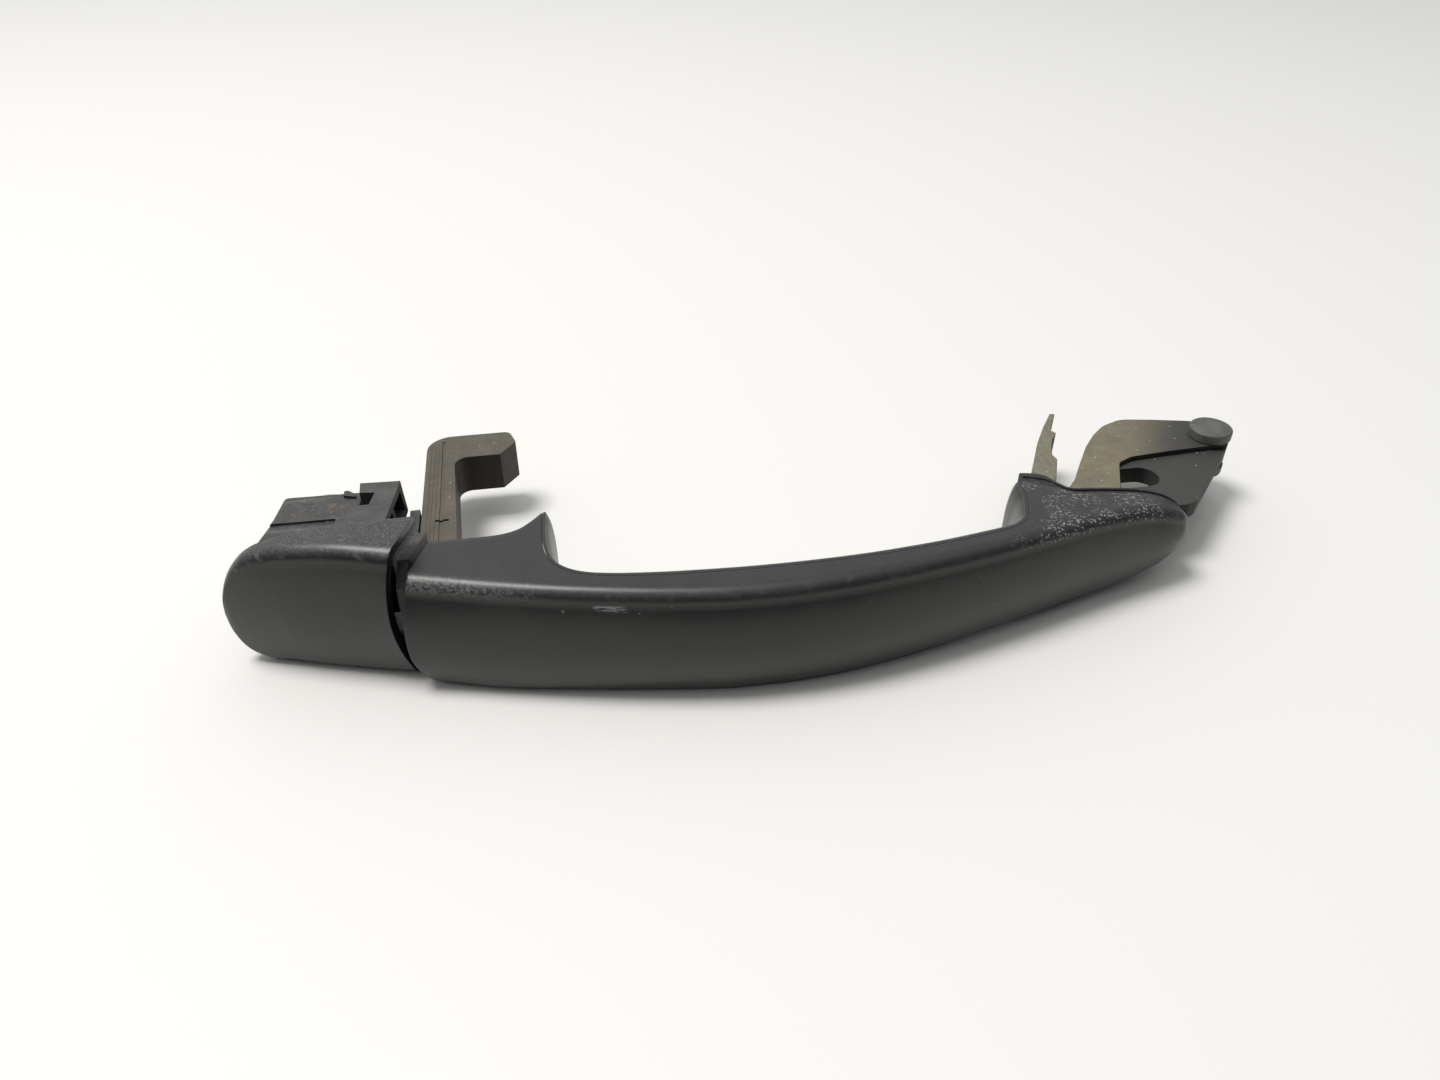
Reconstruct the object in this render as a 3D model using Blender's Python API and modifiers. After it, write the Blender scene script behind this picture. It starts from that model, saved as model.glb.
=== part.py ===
"""Car door handle: a strap-type outside handle lying as it is fitted to a door.

X runs along the handle towards the pivot, +Y goes into the door, Z is up. The origin is on the seating face
of the rear foot. Every length below is in millimetres; a mesh is scaled to metres when it is made.
"""

import math

import bmesh
import bpy
import numpy as np

MM = 0.001

# ---- driving sizes, mm ----
GRIP_LENGTH = 183.5  # rear end of the grip to its nose
GRIP_END_X = -15.9  # rear end of the grip, which stays in its place when the length changes
GRIP_HEIGHT = 26.6  # tallest section of the grip, above which BASE_DROP is added below
GRIP_REACH = 30.7  # how far the bow's front line stands out from the seating plane
SEAT_Y = 1.5  # Y of the seating plane in the outlines below, which move by this to put it at zero
WALL = 2.4  # moulded wall of the shells and of the cap
GAP = 0.3  # clearance between neighbouring pieces
FRONT_BULGE = 1.7  # bulge of the front face beyond the straight line between its creases
UPPER_SETBACK = 0.8  # how far the upper crease lies behind the front line
END_SLANT = 2.6  # how far the foot of the grip's rear end is drawn in
CREASE_RADIUS = 3.2
BASE_DROP = 0.9  # how much lower than half its height the base of the grip and the cap lies
FACET_DROP = 4.8  # height of the facet under the bow's lower crease
BACK_BULGE = 4.5  # roundness of the finger side along the bow
FOOT_BULGE = 2.6  # and on the two feet
SKIN = 1.6  # wall of the inner shell

CAP_HEIGHT = GRIP_HEIGHT + 7.0  # the cap stands on the same base line as the grip
CAP_BACK = 2.6  # Y of the rim of the cap
HOUSING_DEPTH = 30.0
HOUSING_TOP = 10.0
HOUSING_BOTTOM = -8.0
BRACKET_TOP = 14.0
BARREL_RADIUS = 6.6
BARREL_LENGTH = 31.5
CLIP_RADIUS = 7.9
CLIP_WIRE = 0.9

HOOK_WIDTH = 7.2
HOOK_HEIGHT = 10.4
HOOK_REACH = 60.6
HOOK_BAR = 11.3
HOOK_SPREAD = 21.4
HOOK_ROOT = 9.0
HOOK_FLARE = 1.3  # how much wider the leg is at its foot
DOWEL_RADIUS = 1.4

LUG_HEIGHT = 7.5
LUG_RECESS = 1.5
TENON_HEIGHT = 7.0
PIN_X = 191.4
PIN_Y = 28.1
PIN_LENGTH = 13.0
PIN_HEAD_RADIUS = 5.5
PIN_SHAFT_RADIUS = 3.2
FIN_HEIGHT = 9.6
PAD_THICKNESS = 1.8
SEAL_INSET = 0.15

# ---- scale factors that follow the driving sizes ----
KX = GRIP_LENGTH / 183.5
KZ = GRIP_HEIGHT / 26.6
KY = (GRIP_REACH - SEAT_Y) / 29.2
KC = CAP_HEIGHT / 32.8


def along(x):
    """Where an x of the outlines below lies on a grip of this length."""
    return GRIP_END_X + (x - GRIP_END_X) * KX


def back_along(x):
    return GRIP_END_X + (x - GRIP_END_X) / KX



COLOURS = {
    "cap_cover": (0.020, 0.020, 0.020),
    "cylinder_housing": (0.016, 0.016, 0.017),
    "snap_bracket": (0.022, 0.022, 0.023),
    "bracket_screw": (0.45, 0.45, 0.44),
    "cap_seal": (0.008, 0.008, 0.008),
    "barrel_plug": (0.030, 0.030, 0.032),
    "barrel_clip": (0.30, 0.30, 0.29),
    "grip_outer_shell": (0.020, 0.020, 0.020),
    "grip_inner_shell": (0.024, 0.024, 0.024),
    "grip_core": (0.060, 0.056, 0.048),
    "end_tongue": (0.035, 0.034, 0.033),
    "hook_arm": (0.130, 0.118, 0.095),
    "hook_dowel_front": (0.40, 0.40, 0.38),
    "hook_dowel_rear": (0.40, 0.40, 0.38),
    "pivot_lug": (0.160, 0.140, 0.105),
    "lug_dowel_left": (0.40, 0.40, 0.38),
    "lug_dowel_right": (0.40, 0.40, 0.38),
    "pivot_pin": (0.045, 0.043, 0.042),
    "guide_fin": (0.180, 0.165, 0.125),
    "front_seal": (0.008, 0.008, 0.008),
    "rear_pad": (0.008, 0.008, 0.008),
}

for old in list(bpy.data.objects):
    bpy.data.objects.remove(old, do_unlink=True)

handle = bpy.data.collections.new("car_door_handle")
cutters = bpy.data.collections.new("cutters")
bpy.context.scene.collection.children.link(handle)
bpy.context.scene.collection.children.link(cutters)
cutters.hide_render = True

grip_pivot = bpy.data.objects.new("grip_pivot", None)
grip_pivot.location = (along(PIN_X) * MM, (PIN_Y - SEAT_Y) * MM, 0.0)
handle.objects.link(grip_pivot)


# ---- curves ----
def smooth_curve(table):
    """A monotone cubic through (x, y) rows, as a function of x that holds its end values beyond them."""
    xs = np.array([row[0] for row in table], float)
    ys = np.array([row[1] for row in table], float)
    step = np.diff(xs)
    slope = np.diff(ys) / step
    tangent = np.zeros(len(xs))
    tangent[0] = slope[0]
    tangent[-1] = slope[-1]
    for i in range(1, len(xs) - 1):
        if slope[i - 1] * slope[i] > 0:
            first = 2 * step[i] + step[i - 1]
            second = step[i] + 2 * step[i - 1]
            tangent[i] = (first + second) / (first / slope[i - 1] + second / slope[i])

    def value(x):
        x = np.clip(x, xs[0], xs[-1])
        i = np.clip(np.searchsorted(xs, x, side="right") - 1, 0, len(xs) - 2)
        t = (x - xs[i]) / step[i]
        start = (1 + 2 * t) * (1 - t) ** 2 * ys[i] + t * (1 - t) ** 2 * step[i] * tangent[i]
        end = t * t * (3 - 2 * t) * ys[i + 1] + t * t * (t - 1) * step[i] * tangent[i + 1]
        return start + end

    return value


def through(rows, places):
    """Catmull-Rom through rows, read at places, where place 2.5 is halfway from row 2 to row 3."""
    rows = np.array(rows, float)
    padded = np.vstack([2 * rows[0] - rows[1], rows, 2 * rows[-1] - rows[-2]])
    found = []
    for place in places:
        i = min(int(place), len(rows) - 2)
        t = place - i
        a, b, c, d = padded[i : i + 4]
        bend = (2 * a - 5 * b + 4 * c - d) * t * t + (3 * b - a - 3 * c + d) * t**3
        found.append(0.5 * (2 * b + (c - a) * t + bend))
    return np.array(found)


# ---- meshes ----
def material_of(name):
    material = bpy.data.materials.new(name)
    material.use_nodes = True
    shader = material.node_tree.nodes["Principled BSDF"]
    shader.inputs["Base Color"].default_value = (*COLOURS[name], 1.0)
    metal = "dowel" in name or "screw" in name or "clip" in name
    shader.inputs["Metallic"].default_value = 1.0 if metal else 0.0
    shader.inputs["Roughness"].default_value = 0.35 if metal else 0.55
    material.diffuse_color = (*COLOURS[name], 1.0)
    return material


def add_mesh(name, verts, faces, cutter=False):
    """A closed body from points in mm. Coincident points are merged and the faces turned outwards."""
    mesh = bpy.data.meshes.new(name)
    seated = (np.asarray(verts, float) - (0.0, SEAT_Y, 0.0)) * MM
    mesh.from_pydata([tuple(v) for v in seated], [], faces)
    bm = bmesh.new()
    bm.from_mesh(mesh)
    bmesh.ops.remove_doubles(bm, verts=bm.verts, dist=2e-6)
    bmesh.ops.dissolve_degenerate(bm, dist=1e-7, edges=bm.edges)
    bmesh.ops.recalc_face_normals(bm, faces=bm.faces)
    if bm.calc_volume(signed=True) < 0:
        bmesh.ops.reverse_faces(bm, faces=bm.faces)
    bm.to_mesh(mesh)
    bm.free()
    mesh.shade_smooth()
    mesh.set_sharp_from_angle(angle=math.radians(32))
    obj = bpy.data.objects.new(name, mesh)
    if cutter:
        cutters.objects.link(obj)
        obj.hide_render = True
        obj.display_type = "WIRE"
    else:
        handle.objects.link(obj)
        mesh.materials.append(material_of(name))
    return obj


def grid_faces(rows, columns, start=0, flip=False):
    faces = []
    for i in range(rows - 1):
        for j in range(columns - 1):
            a = start + i * columns + j
            quad = (a, a + 1, a + columns + 1, a + columns)
            faces.append(quad[::-1] if flip else quad)
    return faces


def shell_mesh(name, outer, inner):
    """A wall between two grids of one size, with rims on three sides and the far row closed to a ridge."""
    rows, columns = outer.shape[:2]
    size = rows * columns
    verts = np.vstack([outer.reshape(-1, 3), inner.reshape(-1, 3)])
    faces = grid_faces(rows, columns) + grid_faces(rows, columns, size, True)
    for j in range(columns - 1):
        faces.append((j, size + j, size + j + 1, j + 1))
    for i in range(rows - 1):
        near = i * columns
        far = (i + 1) * columns
        faces.append((near, far, size + far, size + near))
        last = columns - 1
        faces.append((near + last, size + near + last, size + far + last, far + last))
    return add_mesh(name, verts, faces)


def loft(name, rings, cutter=False):
    """A body through closed rings of the same number of points, with flat ends."""
    rings = np.asarray(rings, float)
    count, around = rings.shape[:2]
    faces = []
    for i in range(count - 1):
        for j in range(around):
            a = i * around + j
            b = i * around + (j + 1) % around
            faces.append((a, b, b + around, a + around))
    faces.append(tuple(range(around))[::-1])
    faces.append(tuple((count - 1) * around + j for j in range(around)))
    return add_mesh(name, rings.reshape(-1, 3), faces, cutter)


def prism(name, outline, low, high, axis="z", cutter=False):
    """An outline in (x, y) raised along z, or one in (x, z) raised along y."""
    rings = []
    for level in (low, high):
        if axis == "z":
            rings.append([(x, y, level) for x, y in outline])
        else:
            rings.append([(x, level, z) for x, z in outline])
    return loft(name, rings, cutter)


def circle(x, y, radius, count=32, squash=1.0):
    turns = [2 * math.pi * i / count for i in range(count)]
    return [(x + radius * math.cos(a), y + squash * radius * math.sin(a)) for a in turns]


def rounded(outline, radii, steps=4):
    """The corners of an outline replaced by arcs. A radius of 0 keeps the corner."""
    found = []
    count = len(outline)
    for i, radius in enumerate(radii):
        corner = np.array(outline[i], float)
        before = np.array(outline[i - 1], float) - corner
        after = np.array(outline[(i + 1) % count], float) - corner
        if radius <= 0:
            found.append(tuple(corner))
            continue
        before_length = np.linalg.norm(before)
        after_length = np.linalg.norm(after)
        before = before / before_length
        after = after / after_length
        half = math.acos(max(-1.0, min(1.0, float(before @ after)))) / 2
        reach = min(radius / math.tan(half), 0.49 * before_length, 0.49 * after_length)
        radius = reach * math.tan(half)
        middle = corner + (before + after) / np.linalg.norm(before + after) * radius / math.sin(half)
        first = corner + before * reach - middle
        last = corner + after * reach - middle
        turn = math.atan2(first[0] * last[1] - first[1] * last[0], float(first @ last))
        for k in range(steps + 1):
            a = turn * k / steps
            c, s = math.cos(a), math.sin(a)
            found.append(tuple(middle + (c * first[0] - s * first[1], s * first[0] + c * first[1])))
    return found


def grown(outline, distance):
    """An outline moved outwards by a distance, whichever way round it runs."""
    points = np.array(outline, float)
    following = np.roll(points, -1, axis=0)
    area = float((points[:, 0] * following[:, 1] - following[:, 0] * points[:, 1]).sum())
    edges = following - points
    edges = edges / np.linalg.norm(edges, axis=1)[:, None]
    outward = np.stack([edges[:, 1], -edges[:, 0]], 1) * (1 if area > 0 else -1)
    before = np.roll(outward, 1, axis=0)
    share = distance / (1 + (outward * before).sum(axis=1))
    return [tuple(p) for p in points + (outward + before) * share[:, None]]


def bevel(obj, width=0.4, segments=2):
    modifier = obj.modifiers.new("edge_round", "BEVEL")
    modifier.width = width * MM
    modifier.segments = segments
    modifier.limit_method = "ANGLE"
    modifier.angle_limit = math.radians(40)
    modifier.use_clamp_overlap = True


def combine(obj, other, operation="DIFFERENCE"):
    modifier = obj.modifiers.new(operation.lower() + "_" + other.name, "BOOLEAN")
    modifier.operation = operation
    modifier.solver = "EXACT"
    modifier.object = other


def turned(name, profile, x, y, axis="z", steps=32, cutter=False):
    """A profile of (radius, height) rows turned round an axis through (x, y), or through (x, z) along y."""
    verts = []
    for radius, height in profile:
        verts.append((radius * MM, 0.0, height * MM))
    mesh = bpy.data.meshes.new(name)
    mesh.from_pydata(verts, [(i, i + 1) for i in range(len(verts) - 1)], [])
    obj = bpy.data.objects.new(name, mesh)
    if cutter:
        cutters.objects.link(obj)
        obj.hide_render = True
        obj.display_type = "WIRE"
    else:
        handle.objects.link(obj)
        mesh.materials.append(material_of(name))
    screw = obj.modifiers.new("turned", "SCREW")
    screw.axis = "Z"
    screw.steps = steps
    screw.render_steps = steps
    screw.use_merge_vertices = True
    screw.merge_threshold = 1e-5
    screw.use_normal_calculate = True
    screw.use_smooth_shade = True
    if axis == "z":
        obj.location = (x * MM, (y - SEAT_Y) * MM, 0.0)
    else:
        obj.rotation_euler = (-math.pi / 2, 0.0, 0.0)
        obj.location = (x * MM, -SEAT_Y * MM, y * MM)
    return obj


# ---- the grip's form ----
half_height = smooth_curve(
    [
        (-20, 13.30), (-9, 13.30), (22, 13.27), (44, 13.28), (65, 13.30), (88, 12.90), (113, 11.95),
        (126.5, 11.45), (140.5, 10.55), (150, 9.5), (155, 8.7), (160, 7.25), (163.5, 5.6), (166, 3.75),
        (167.2, 1.9), (167.6, 0.0),
    ]
)
front_line = smooth_curve(
    [
        (-20, -11.8), (-15.9, -13.1), (-9, -15.3), (1.5, -18.6), (22.5, -24.0), (40, -27.4), (52, -28.9),
        (63, -29.2), (74, -28.6), (88, -26.6), (100, -24.2), (113, -21.1), (126.5, -17.4), (140.5, -13.4),
        (155, -9.9), (161, -8.7), (165, -7.4), (167.6, -5.4),
    ]
)
# Each row pairs an x on the front with the point of the rear edge that closes the same section.
SECTIONS = [
    (-15.9, -12.15, 1.2), (-12.5, -7.6, 1.2), (-9.0, -3.1, 1.2), (-5.5, 1.2, 1.2), (-2.5, 4.7, 1.7),
    (0.0, 7.5, 2.9), (2.2, 9.7, 4.8), (4.2, 11.5, 6.8), (5.8, 12.9, 8.2), (8.0, 12.6, 4.2),
    (10.5, 12.4, -1.0), (12.8, 12.7, -6.2), (15.2, 13.9, -10.6), (18.0, 16.6, -13.8), (21.5, 20.6, -16.1),
    (27.0, 26.5, -17.7), (35.0, 34.6, -18.9), (45.0, 44.6, -19.8), (57.0, 57.0, -20.5), (70.0, 70.2, -20.6),
    (83.0, 83.6, -19.8), (96.0, 97.0, -18.1), (107.0, 108.3, -15.9), (114.0, 114.6, -14.4),
    (119.0, 118.9, -12.9), (122.5, 121.8, -10.4), (125.2, 123.6, -6.6), (127.8, 125.0, -2.4),
    (130.4, 125.6, 1.2), (132.8, 126.0, 3.4), (135.0, 127.2, 4.4), (137.5, 130.9, 2.3), (139.8, 134.4, 0.9),
    (142.0, 136.9, -0.9), (144.4, 139.6, -1.7), (147.2, 143.3, -1.8), (150.5, 148.0, -1.8),
    (154.0, 152.8, -1.8), (157.8, 157.4, -1.8), (161.4, 161.4, -1.8), (164.2, 164.2, -1.8),
    (166.2, 166.2, -1.8), (167.25, 167.25, -1.8), (167.6, 167.6, -1.8),
]
drop_share = smooth_curve([(-20, 1.0), (0, 1.0), (30, 0.9), (60, 0.9), (88, 0.6), (113, 0.3), (140, 0.0)])
# How far the lower crease lies in front of the front line.
lower_lean = smooth_curve([(-20, 2.4), (-5, 1.9), (20, 1.2), (60, 0.9), (113, 0.7), (150, 0.3), (167.6, 0.0)])
# Share of the lower corner that is a flat facet instead of an arc.
facet_share = smooth_curve(
    [(-20, 0.0), (0, 0.05), (20, 0.5), (40, 1.0), (62, 1.0), (85, 0.75), (105, 0.5), (126, 0.4), (150, 0.0)]
)
LAST = len(SECTIONS) - 1
LEFT_TIP = 8
RIGHT_TIP = 30
NOSE_FROM = 150.0
NOSE_END = 167.6
NOSE_INSIDE = 164.9


def low_height(x):
    """How far below the middle plane the base lies."""
    return float(half_height(x)) * KZ + BASE_DROP * float(drop_share(x))


# The facet's section from the crease down: distance behind the front, and height above the base as a share of
# its drop.
OUTER_FACET = [(0.0, 1.06), (0.25, 0.94), (1.3, 0.49), (2.3, 0.09), (3.2, 0.0)]
INNER_FACET = [(0.0, 0.54), (0.5, 0.4), (1.0, 0.2), (1.3, 0.06), (1.6, 0.0)]


def grip_row(place, inside):
    """One section of the grip's wall, from the lower rear edge round the front to the upper rear edge."""
    front_x, back_x, back_y = through(SECTIONS, [place])[0]
    squeeze = (NOSE_INSIDE - NOSE_FROM) / (NOSE_END - NOSE_FROM)
    thin = 1 - WALL / (half_height(NOSE_FROM) * KZ)

    def half(x, upwards):
        full = float(half_height(x)) * KZ if upwards else low_height(x)
        if not inside:
            return full
        return full * thin if x > NOSE_FROM else full - WALL

    def squeezed(x):
        return NOSE_FROM + (x - NOSE_FROM) * squeeze if inside and x > NOSE_FROM else x

    front_y = float(front_line(front_x)) * KY + (WALL if inside else 0.0)
    tall = half(front_x, True)
    radius = min(CREASE_RADIUS, 0.55 * tall)
    if inside:
        radius = max(0.3, radius - WALL)
        radius = min(radius, 0.5 * tall)
    size = float(half_height(front_x)) / 13.3
    back_y = back_y * (KY if back_y < -2 else 1.0)
    facet = INNER_FACET if inside else OUTER_FACET
    sides = []
    for upwards in (True, False):
        tall = half(front_x, upwards)
        flat = 0.0 if upwards else float(facet_share(front_x))
        shift = UPPER_SETBACK if upwards else -float(lower_lean(front_x))
        crease_y = front_y + shift * size
        side = []
        for k, (facet_y, facet_z) in enumerate(facet):
            a = math.pi / 2 * k / 4
            arc_y = radius * (1 - math.cos(a))
            arc_z = radius * (1 - math.sin(a))
            corner_y = arc_y + (facet_y - arc_y) * flat
            below = arc_z + (facet_z * FACET_DROP - arc_z) * flat
            side.append((front_x, crease_y + corner_y, tall - below))
        start_y = side[-1][1]
        for share in (0.3, 0.65, 1.0):
            x = front_x + (back_x - front_x) * share
            y = start_y + (back_y - start_y) * share
            side.append((x, y, half(x, upwards)))
        sides.append(side)
    upper, lower = sides
    lower = [(x, y, -z) for x, y, z in lower[::-1]]
    front = []
    for k in range(1, 6):
        t = k / 6
        y = lower[-1][1] + (upper[0][1] - lower[-1][1]) * t - 4 * FRONT_BULGE * size * t * (1 - t)
        front.append((front_x, y, lower[-1][2] + (upper[0][2] - lower[-1][2]) * t))
    row = lower + front + upper
    end = []
    for x, y, z in row:
        fade = max(0.0, 1 - (x - GRIP_END_X) / 22) ** 2 if x < 6.1 else 0.0
        arc = -2.3 * (1 - min(1.0, (z / (13.3 * KZ)) ** 2))
        if z < -4 * KZ:
            arc += END_SLANT * ((z / KZ + 4) / 9.3) ** 2
        end.append((along(squeezed(x) + arc * fade), y, z))
    return end


def grip_grid(places, inside):
    return np.array([grip_row(place, inside) for place in places])


outer_places = [
    0, 1, 2, 3, 4, 4.5, 5, 6, 7, 7.5, 8, 8.5, 9, 10, 11, 12, 13, 14, 15, 16, 17, 18, 19, 20, 21, 22, 23, 24,
    25, 26, 27, 28, 29, 29.6, 30, 30.4, 31, 32, 33, 34, 35, 36, 37, 38, 39, 40, 41, 42, LAST,
]
outer_grid = grip_grid(outer_places, False)
inner_grid = grip_grid(outer_places, True)
grip_outer_shell = shell_mesh("grip_outer_shell", outer_grid, inner_grid)


# ---- the finger side ----
def rear_edge(places):
    """Points of the shell's rear edge in plan, with the normals that point away from the shell."""
    found = []
    for shift in (0.0, 0.02, -0.02):
        edge = through(SECTIONS, [min(max(p + shift, 0), LAST) for p in places])[:, 1:]
        reached = np.where(edge[:, 1] < -2, edge[:, 1] * KY, edge[:, 1])
        found.append(np.stack([along(edge[:, 0]), reached], 1))
    near, ahead, behind = found
    run = ahead - behind
    run = run / np.linalg.norm(run, axis=1)[:, None]
    return near, np.stack([-run[:, 1], run[:, 0]], 1)


finger_places = [
    8.35, 8.6, 9, 9.5, 10, 10.5, 11, 11.5, 12, 12.5, 13, 13.5, 14, 15, 16, 17, 18, 19, 20, 21, 22, 23, 23.5,
    24, 24.5, 25, 25.5, 26, 27, 28, 29, 29.6,
]
bulge_at = smooth_curve(
    [(8, FOOT_BULGE - 0.6), (10, FOOT_BULGE), (12, FOOT_BULGE + 0.3), (16, BACK_BULGE), (22, BACK_BULGE),
     (25, FOOT_BULGE + 0.3), (27, FOOT_BULGE), (30, FOOT_BULGE - 0.6)]
)


def finger_ring(point, normal, high, low, bulge):
    inside = bulge - SKIN
    ring = []
    for share in (-1.0, -0.975, -0.9, -0.75, -0.5, -0.2, 0.2, 0.5, 0.75, 0.9, 0.975, 1.0):
        out = bulge * math.sqrt(max(0.0, 1 - abs(share) ** 2.6))
        ring.append((GAP + max(out, 0.5), share * (high if share > 0 else low)))
    for share in (1.0, 0.9, 0.7, 0.35, -0.35, -0.7, -0.9, -1.0):
        out = inside * math.sqrt(max(0.0, 1 - abs(share) ** 2.6))
        ring.append((GAP + out, share * ((high if share > 0 else low) - SKIN)))
    ring = [(GAP, -low)] + ring[:12] + [(GAP, high)] + ring[12:]
    return [(point[0] + n * normal[0], point[1] + n * normal[1], z) for n, z in ring]


points, normals = rear_edge(finger_places)
rings = []
for place, point, normal in zip(finger_places, points, normals):
    high = float(half_height(back_along(point[0]))) * KZ
    rings.append(finger_ring(point, normal, high, low_height(back_along(point[0])), float(bulge_at(place))))
grip_inner_shell = loft("grip_inner_shell", rings)


# ---- the core that joins hook, lug and fin ----
def front_inside(x):
    return float(front_line(x)) * KY + WALL + 0.7


spine_xs = [-11, -4, 3, 11, 20, 30, 42, 54, 66, 78, 90, 102, 113, 122, 131, 140, 146, 152]
spine_front = [(along(x), front_inside(x)) for x in spine_xs]
spine_rear = [
    (152.0, -4.2), (134.0, -4.2), (127.0, -5.4), (123.5, -11.0), (119.0, -15.4), (112.0, -15.4),
    (107.0, -15.6), (97.0, -17.3), (84.0, -18.8), (70.0, -19.5), (57.0, -19.4), (45.0, -18.8),
    (35.0, -18.1), (27.0, -17.3), (20.0, -17.6), (15.0, -16.0), (11.0, -9.0), (9.0, -4.0), (-8.0, -3.4),
    (-11.0, -3.4),
]
spine = spine_front + [(along(x), y * KY if y < -12 else y) for x, y in spine_rear]
core_half = min(5.0, (GRIP_HEIGHT / 2 - WALL) * 0.46)
grip_core = prism("grip_core", spine, -core_half, core_half)
inside_half = GRIP_HEIGHT / 2 - WALL - 1.2
block_rear = SEAT_Y - PAD_THICKNESS - GAP
left_block = prism(
    "left_block",
    [(-14.2, front_inside(back_along(-14)) + 0.2), (-4.0, front_inside(back_along(-4)) + 0.2),
     (4.0, front_inside(back_along(4)) + 0.2),
     (7.5, -12.6), (7.5, -2.9), (4.9, block_rear), (-14.2, block_rear)],
    -inside_half, inside_half, cutter=True,
)
socket_half = (half_height(154) * KZ - WALL) * 0.9
right_block = prism(
    "right_block",
    [(along(130), front_inside(130) + 0.2), (along(141), front_inside(141) + 0.2),
     (along(153), front_inside(153) + 0.2), (along(153), -2.6), (along(134), -2.6), (along(130), -4.6)],
    -socket_half, socket_half, cutter=True,
)
combine(grip_core, left_block, "UNION")
combine(grip_core, right_block, "UNION")

# ---- the hook at the rear end ----
hook_left = GRIP_END_X
hook_right = hook_left + HOOK_WIDTH
hook_foot = hook_right + HOOK_FLARE
hook_outline = rounded(
    [(hook_left, -HOOK_ROOT), (hook_left, HOOK_REACH), (hook_left + HOOK_SPREAD, HOOK_REACH),
     (hook_left + HOOK_SPREAD + 1.6, HOOK_REACH - 5.6),
     (hook_left + HOOK_SPREAD - 2.6, HOOK_REACH - HOOK_BAR), (hook_right, HOOK_REACH - HOOK_BAR),
     (hook_foot, 15.0), (hook_foot, -HOOK_ROOT)],
    [0, 6.5, 2.2, 1.2, 0.5, 3.4, 0, 0], 5,
)
hook_arm = prism("hook_arm", hook_outline, -HOOK_HEIGHT / 2, HOOK_HEIGHT / 2)
bevel(hook_arm, 0.45)
hook_slot = prism(
    "hook_slot",
    [(hook_left - 6.0, -HOOK_ROOT - GAP), (hook_foot + GAP, -HOOK_ROOT - GAP), (hook_foot + GAP, 6.0),
     (hook_left - 6.0, 6.0)],
    -HOOK_HEIGHT / 2 - GAP, HOOK_HEIGHT / 2 + GAP, cutter=True,
)
combine(grip_core, hook_slot)
hook_middle = (hook_left + hook_right) / 2 + 1.5
for name, y in (("hook_dowel_front", -HOOK_ROOT + 2.6), ("hook_dowel_rear", -HOOK_ROOT + 6.2)):
    length = inside_half - 0.4
    profile = [(0, -length), (DOWEL_RADIUS - 0.3, -length), (DOWEL_RADIUS, -length + 0.3),
               (DOWEL_RADIUS, length - 0.3), (DOWEL_RADIUS - 0.3, length), (0, length)]
    turned(name, profile, hook_middle, y, steps=16)
    bore = prism(name + "_bore", circle(hook_middle, y, DOWEL_RADIUS + GAP, 16), -30, 30, cutter=True)
    combine(grip_core, bore)
    combine(hook_arm, bore)

# ---- the tongue that fills the joint between grip and cap ----
def joint_x(y, z):
    """The cap's end, which follows the arc and the slant of the grip's end."""
    z = z / KC
    rise = 2.7 * ((z - 4) / 17.2) ** 2 if z < 4 else 1.3 * ((z - 4) / 15.5) ** 2
    return -20.5 + rise + 0.36 * (y + 11.4)


def grip_end_x(y, z):
    return GRIP_END_X + 0.266 * (y + 12.9) - 2.3 * (1 - min(1.0, (z / (13.3 * KZ)) ** 2))


tongue_rings = []
for y, x, low, high in ((-8.3, -19.3, -9.6, 8.6), (-4.4, -18.9, -10.1, 10.9), (-3.4, -18.6, -10.1, 12.5),
                        (0.6, -17.2, -10.1, 12.7), (5.8, -15.2, -9.6, 12.7)):
    left, right = [], []
    for k in range(9):
        z = (low + (high - low) * k / 8) * KZ
        near = max(x, joint_x(-9.3, z) + 0.5)
        left.append((near, y, z))
        right.append((min(near + 2.4, grip_end_x(y, z) - 0.5), y, z))
    tongue_rings.append(left + right[::-1])
end_tongue = loft("end_tongue", tongue_rings)
hook_pass = prism(
    "hook_pass",
    [(hook_left - GAP, -HOOK_ROOT - GAP), (hook_foot + GAP, -HOOK_ROOT - GAP), (hook_foot + GAP, 20.0),
     (hook_left - GAP, 20.0)],
    -HOOK_HEIGHT / 2 - GAP, HOOK_HEIGHT / 2 + GAP, cutter=True,
)
ear = prism(
    "tongue_ear",
    [(hook_left - 2.6, -4.0), (hook_left - 2.6, 26.0), (hook_left - GAP, 26.0), (hook_left - GAP, -4.0)],
    -6.0, HOUSING_TOP - 4.4, cutter=True,
)
combine(end_tongue, ear, "UNION")
combine(end_tongue, hook_pass)

# ---- the pivot lug ----
lug_outline = rounded(
    [(141.8, 0.5), (142.5, 10.0), (146.1, 13.8), (151.2, 21.4), (156.2, 28.6), (160.9, 34.0),
     (165.5, 38.0), (171.8, 40.6), (180.3, 38.9), (189.8, 36.6), (194.9, 34.4), (197.2, 30.8),
     (197.0, 26.8), (194.8, 24.1), (173.6, 2.0), (170.6, 0.5)],
    [0, 3, 8, 0, 0, 12, 8, 6, 20, 8, 3, 3, 3, 3, 2.5, 2], 2,
)
lug_shift = along(PIN_X) - PIN_X
lug_outline = [(x + lug_shift, y) for x, y in lug_outline]
lug_half = LUG_HEIGHT / 2
pivot_lug = prism("pivot_lug", lug_outline, -lug_half, lug_half)
bevel(pivot_lug, 0.5)
tenon_half = min(TENON_HEIGHT / 2, socket_half - 1.2)
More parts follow.
